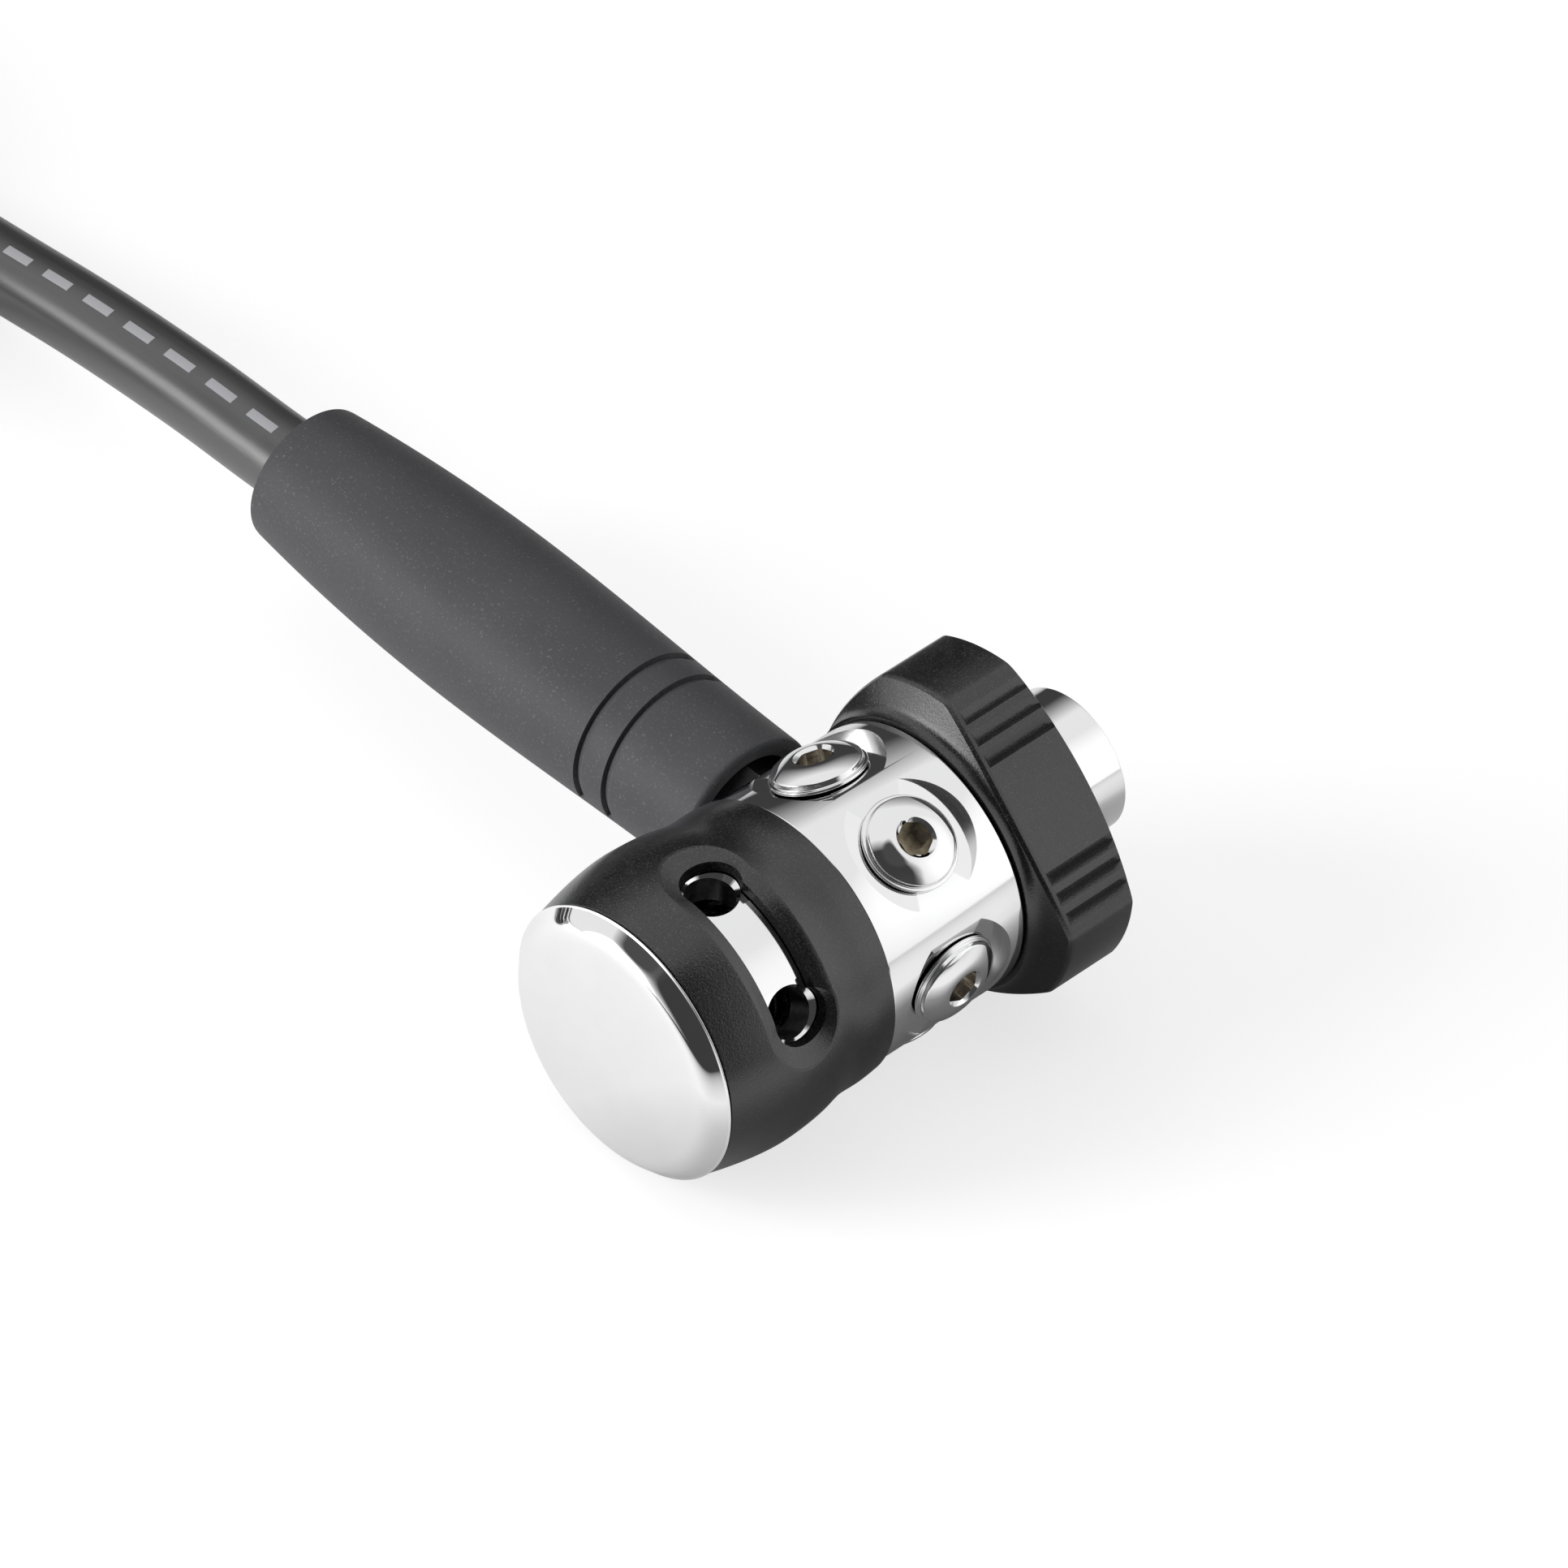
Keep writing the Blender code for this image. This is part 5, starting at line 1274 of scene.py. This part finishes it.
outline = [(0, FERRULE_LENGTH), (FERRULE_RADIUS, FERRULE_LENGTH)]
for share in np.linspace(0.9, 0.1, 33):
    waist = sum(math.exp(-(((share - spot) / CRIMP_WIDTH) ** 2)) for spot in CRIMP_PLACES)
    outline.append((FERRULE_RADIUS - CRIMP_DEPTH * waist, share * FERRULE_LENGTH))
outline += [(FERRULE_RADIUS, 0), (0, 0)]
mesh = lathe("crimp", rounded(outline, FERRULE_EDGE, loop=False), FERRULE_SIDES)
crimp = add_piece("crimp", mesh, CHROME, "far_ferrule", place=FAR_END)
outline = [(radius * MM, height * MM) for radius, height in TAIL_MM]
mesh = lathe("tail", rounded(outline, TAIL_EDGE), TAIL_SIDES)
tail = add_piece("tail", mesh, CHROME, "far_stem", place=FAR_END)

# %% [markdown]
# ## Swivel nut
#
# The nut joins the hose to the next piece of gear. Its rings go from circles to hexagons and back,
# which gives the bevelled corners that a real nut gets on the lathe.

# %% Make the nut
NUT_WIDTH = 17.5 * MM
NUT_START = 21.3 * MM
NUT_END = 36.3 * MM
NUT_BEVEL = 0.9 * MM
NUT_HOLE = 4.5 * MM
NUT_BORE, NUT_FLOOR = 7.2 * MM, NUT_START + 4 * MM
NUT_EDGE = 0.3 * MM


def nut_circles(*spots):
    return [circle(radius, height, PLUG_SIDES) for radius, height in spots]


rings = nut_circles((NUT_HOLE, NUT_START), (NUT_WIDTH / 2, NUT_START))
for height in (NUT_START + NUT_BEVEL, NUT_END - NUT_BEVEL):
    rings.append(hexagon(NUT_WIDTH, height, softness=0.985))
rings += nut_circles((NUT_WIDTH / 2, NUT_END), (NUT_BORE + NUT_EDGE, NUT_END))
rings += nut_circles((NUT_BORE, NUT_END - NUT_EDGE), (NUT_BORE, NUT_FLOOR), (NUT_HOLE, NUT_FLOOR))
mesh = skin("nut", rings, loop=True, sharp=20.0)
nut = add_piece("nut", mesh, CHROME, "swivel_nut", body="hose_nut", place=FAR_END)

# %% [markdown]
# ## Band
#
# A woven band holds the coil where one turn lies on the other. Cloth that is pulled tight has no
# folds, so nothing needs to be draped: the band is a long round loop with soft edges.

# %% Make the band
BAND_HALF = 4.5 * MM
BAND_IN = HOSE / 2 + GAP
BAND_OUT = BAND_IN + 1.0 * MM
BAND_EDGE = 0.3 * MM

before, after = [coil[1 + round(TIE_TURN / COIL_STEP) + shift] for shift in (-1, 1)]
spot = (before + after) / 2
low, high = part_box("coil_tie")
band_turn = math.atan2(before.x - after.x, after.y - before.y)
BAND_PLACE = Matrix.Translation((spot.x, spot.y, 0)) @ Matrix.Rotation(band_turn, 4, "Z")


def band_ring(radius, along):
    """A long round loop about both turns of the hose."""
    ring = []
    for middle, first in ((high.z - BAND_OUT, 0.0), (low.z + BAND_OUT, math.pi)):
        for t in np.linspace(0, math.pi, 33):
            turn = first + t
            ring.append((radius * math.cos(turn), along, middle + radius * math.sin(turn)))
    return ring


profile = [(BAND_OUT - BAND_EDGE, -BAND_HALF), (BAND_OUT, BAND_EDGE - BAND_HALF)]
profile += [(BAND_OUT, BAND_HALF - BAND_EDGE), (BAND_OUT - BAND_EDGE, BAND_HALF)]
profile += [(BAND_IN, BAND_HALF), (BAND_IN, -BAND_HALF)]
mesh = skin("band", [band_ring(radius, along) for radius, along in profile], loop=True)
band = add_piece("band", mesh, WEBBING, "coil_tie", slot="tie_fabric", place=BAND_PLACE)

# %% [markdown]
# ## Main spring
#
# A steel spring between the piston and the body sets the pressure. Its wire is a skin of rings
# that climbs round the axis, as the hose is along its route. The spring shortens as the piston
# moves.

# %% Make the spring
SPRING_RADIUS = 8.6 * MM
SPRING_WIRE = 2.6 * MM
SPRING_TURNS = 5.5
SPRING_STEPS = 221
WIRE_SIDES = 16
PISTON_HEAD_END = 5.0 * MM
SHIM_START = 27.5 * MM

spring_low = PISTON_HEAD_END + GAP + SPRING_WIRE / 2
spring_high = SHIM_START - GAP - SPRING_WIRE / 2
upright = Vector((0, 0, 1))
rings = []
for share in np.linspace(0, 1, SPRING_STEPS):
    turn = 2 * math.pi * SPRING_TURNS * share
    out = Vector((math.cos(turn), math.sin(turn), 0))
    centre = SPRING_RADIUS * out + upright * (spring_low + (spring_high - spring_low) * share)
    ring = []
    for k in range(WIRE_SIDES):
        t = 2 * math.pi * k / WIRE_SIDES
        ring.append(centre + SPRING_WIRE / 2 * (math.cos(t) * out + math.sin(t) * upright))
    rings.append(ring)
first, last = [[sum(rings[end], Vector()) / WIRE_SIDES] for end in (0, -1)]
mesh = skin("spring", [first] + rings + [last], sharp=50.0)
spring = add_piece("spring", mesh, STEEL, "main_spring", slot="spring_steel")
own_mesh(spring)

# %% [markdown]
# ## Seals and inner pieces
#
# The rubber rings, the piston and the filter are plain shapes that hardly show. Modelling them
# again would gain nothing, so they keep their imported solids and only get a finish. A subdivision
# rounds the coarse sides of the rings.

# %% Finish the nodes that stay
STAYING = {
    BRASS: ("piston", "orifice_crown"),
    BRONZE: ("filter",),
    STEEL: ("spring_shim", "filter_clip"),
    WHITE: ("piston_seat", "handwheel_washer"),
    CHROME: ("hose_fitting", "hose_ferrule"),
    SEAL_RUBBER: [name for name in frame["nodes"] if "_o_ring" in name],
}
for look, names in STAYING.items():
    for name in names:
        node = frame["nodes"][name]
        node.data.materials.clear()
        node.data.materials.append(look)
        if look is SEAL_RUBBER:
            node.modifiers.new("weld", "WELD").merge_threshold = SAME_PLACE
            node.modifiers.new("round", "SUBSURF").render_levels = 2
print("nodes that stay:", sum(len(names) for names in STAYING.values()))

print("declared", hose.name)

# %% [markdown]
# ## The room
#
# Chrome looks like its room. Cards and flags could be built round the object, but a mirror only
# needs to know how bright each direction is. So the room is a pale grey sky with soft round
# patches: two bright ones, and dark ones for the unlit sides, which draw the grey edges on the
# chrome and the deep black on the plastic.

# %% Paint the room
ROOM_GREY = 0.92
ROOM_PATCHES = (
    ((0.6, 0.72, 0.34), (0.8, 0.95), 1.2),
    ((-0.82, 0.57, 0.0), (0.62, 0.93), 0.05),
    ((-0.5, -0.86, 0.1), (0.92, 0.98), 4.5),
    ((0.61, -0.61, 0.5), (0.6, 0.78), 0.05),
    ((0.42, -0.11, 0.9), (0.94, 0.97), 0.07),
    ((-0.31, -0.67, 0.67), (0.92, 0.97), 0.08),
    ((0.93, -0.32, 0.15), (0.85, 0.95), 0.06),
)

scene = bpy.context.scene
scene.view_settings.view_transform = "Standard"
world = bpy.data.worlds.new("studio")
scene.world = world
world.use_nodes = True
sky = world.node_tree.nodes["Background"]
start = world.node_tree.nodes.new("ShaderNodeTexCoord")
direction = Wire(start.outputs["Generated"])
room = grey(ROOM_GREY)
for spot, edge, level in ROOM_PATCHES:
    settings = {"operation": "DOT_PRODUCT"}
    towards = direction.node("ShaderNodeVectorMath", settings, {0: direction, 1: spot}, 1)
    room = towards.between(*edge).blend(room, grey(level))
feed(sky, Color=room)
print("patches in the room:", len(ROOM_PATCHES))

# %% [markdown]
# ## The table
#
# The object lies on a sweep of white paper. The camera's own rays see it with some light of its
# own, so that it reads as a white background and still keeps the shadow. Mirrors see it bright,
# with a painted shadow under the body, and dark beyond its two long edges. The mixing of shaders
# does all this, because only its factors may change over a surface.

# %% Lay the paper
FLOOR_HALF = 9.0
FLOOR_DROP = 0.05 * MM
PAPER_ACROSS = (0.7, -0.714)
PAPER_ALONG = (0.714, 0.7)
PAPER_SPREAD = 0.35
PAPER_EDGE = (0.07, 0.32)
PAPER_GREY, PAPER_GLOW = 0.35, 0.71
MIRRORED_GREY, MIRRORED_GLOW = 0.9, 0.07
SHADE_GREY, SHADE_GLOW = 0.32, 0.03
BEYOND_GLOW = 0.05
SHADE_MIDDLE = (0.03, 0.0)
SHADE_STRETCH = 0.55
SHADE_EDGE = (0.015, 0.05)
RAYS = ("Is Camera Ray", "Is Glossy Ray", "Is Transmission Ray")

white_paper, shader, place = new_finish(
    "white_paper", Base_Color=grey(PAPER_GREY), Roughness=0.9, Specular_IOR_Level=0.0
)


def glow(strength):
    return place.node("ShaderNodeEmission", {}, {"Color": grey(1.0), "Strength": strength})


def lit(surface, strength):
    return place.node("ShaderNodeAddShader", {}, {0: surface, 1: glow(strength)})


def matte(value):
    return place.node("ShaderNodeBsdfDiffuse", {}, {"Color": grey(value)})


def mixed(factor, first, second):
    return place.node("ShaderNodeMixShader", {}, {0: factor, 1: first, 2: second})


seen, mirrored, passed = [place.node("ShaderNodeLightPath", {}, {}, ray) for ray in RAYS]
x, y, _ = place.split()
across = x * PAPER_ACROSS[0] + y * PAPER_ACROSS[1]
along = x * PAPER_ALONG[0] + y * PAPER_ALONG[1]
spread = across.math("ABSOLUTE") - along.math("ABSOLUTE") * PAPER_SPREAD
# Painted shadow for mirror rays: round this middle, under the body, the paper that mirrors see is
# darker.
beside = x - SHADE_MIDDLE[0]
ahead = (y - SHADE_MIDDLE[1]) * SHADE_STRETCH
away = (beside * beside + ahead * ahead) ** 0.5
shaded = lit(matte(SHADE_GREY), SHADE_GLOW)
paper = mixed(away.between(*SHADE_EDGE), shaded, lit(matte(MIRRORED_GREY), MIRRORED_GLOW))
paper = mixed(spread.between(*PAPER_EDGE), paper, glow(BEYOND_GLOW))
plain = Wire(shader.outputs[0])
plain = mixed(seen, plain, lit(plain, PAPER_GLOW))
end = white_paper.node_tree.nodes["Material Output"]
feed(end, Surface=mixed(mirrored.math("MAXIMUM", mirrored, passed), plain, paper))

corners = [(x * FLOOR_HALF, y * FLOOR_HALF, 0) for x, y in ((-1, -1), (1, -1), (1, 1), (-1, 1))]
floor_mesh = bpy.data.meshes.new("floor")
floor_mesh.from_pydata(corners, [], [(0, 1, 2, 3)])
floor_mesh.materials.append(white_paper)
floor = put("floor", floor_mesh, Matrix.Translation((0, 0, -FLOOR_DROP)))
print("laid", floor.name)

# %% [markdown]
# ## Lamps
#
# Two soft boxes light the rubber and the plastic from the cap's side and cast the shadow. They are
# hidden from mirrors, where the room's patches already stand for the lamps.


# %% Set the lamps
def softbox(name, place, aim, width, power):
    """A square lamp of this width in metres and power in watts that points at its aim."""
    lamp = bpy.data.lights.new(name, "AREA")
    lamp.shape = "RECTANGLE"
    lamp.size = width
    lamp.size_y = width
    lamp.energy = power
    made = put(name, lamp)
    made.location = place
    made.rotation_euler = (Vector(place) - Vector(aim)).to_track_quat("Z", "Y").to_euler()
    made.visible_glossy = False


softbox("key", place=(-0.8, -1.2, 0.8), aim=(0, 0, 0), width=0.7, power=20.0)
softbox("strip", place=(-0.8, -1.3, 0.25), aim=(-0.05, 0, 0.02), width=0.4, power=14.0)
print("lamps:", len(bpy.data.lights))
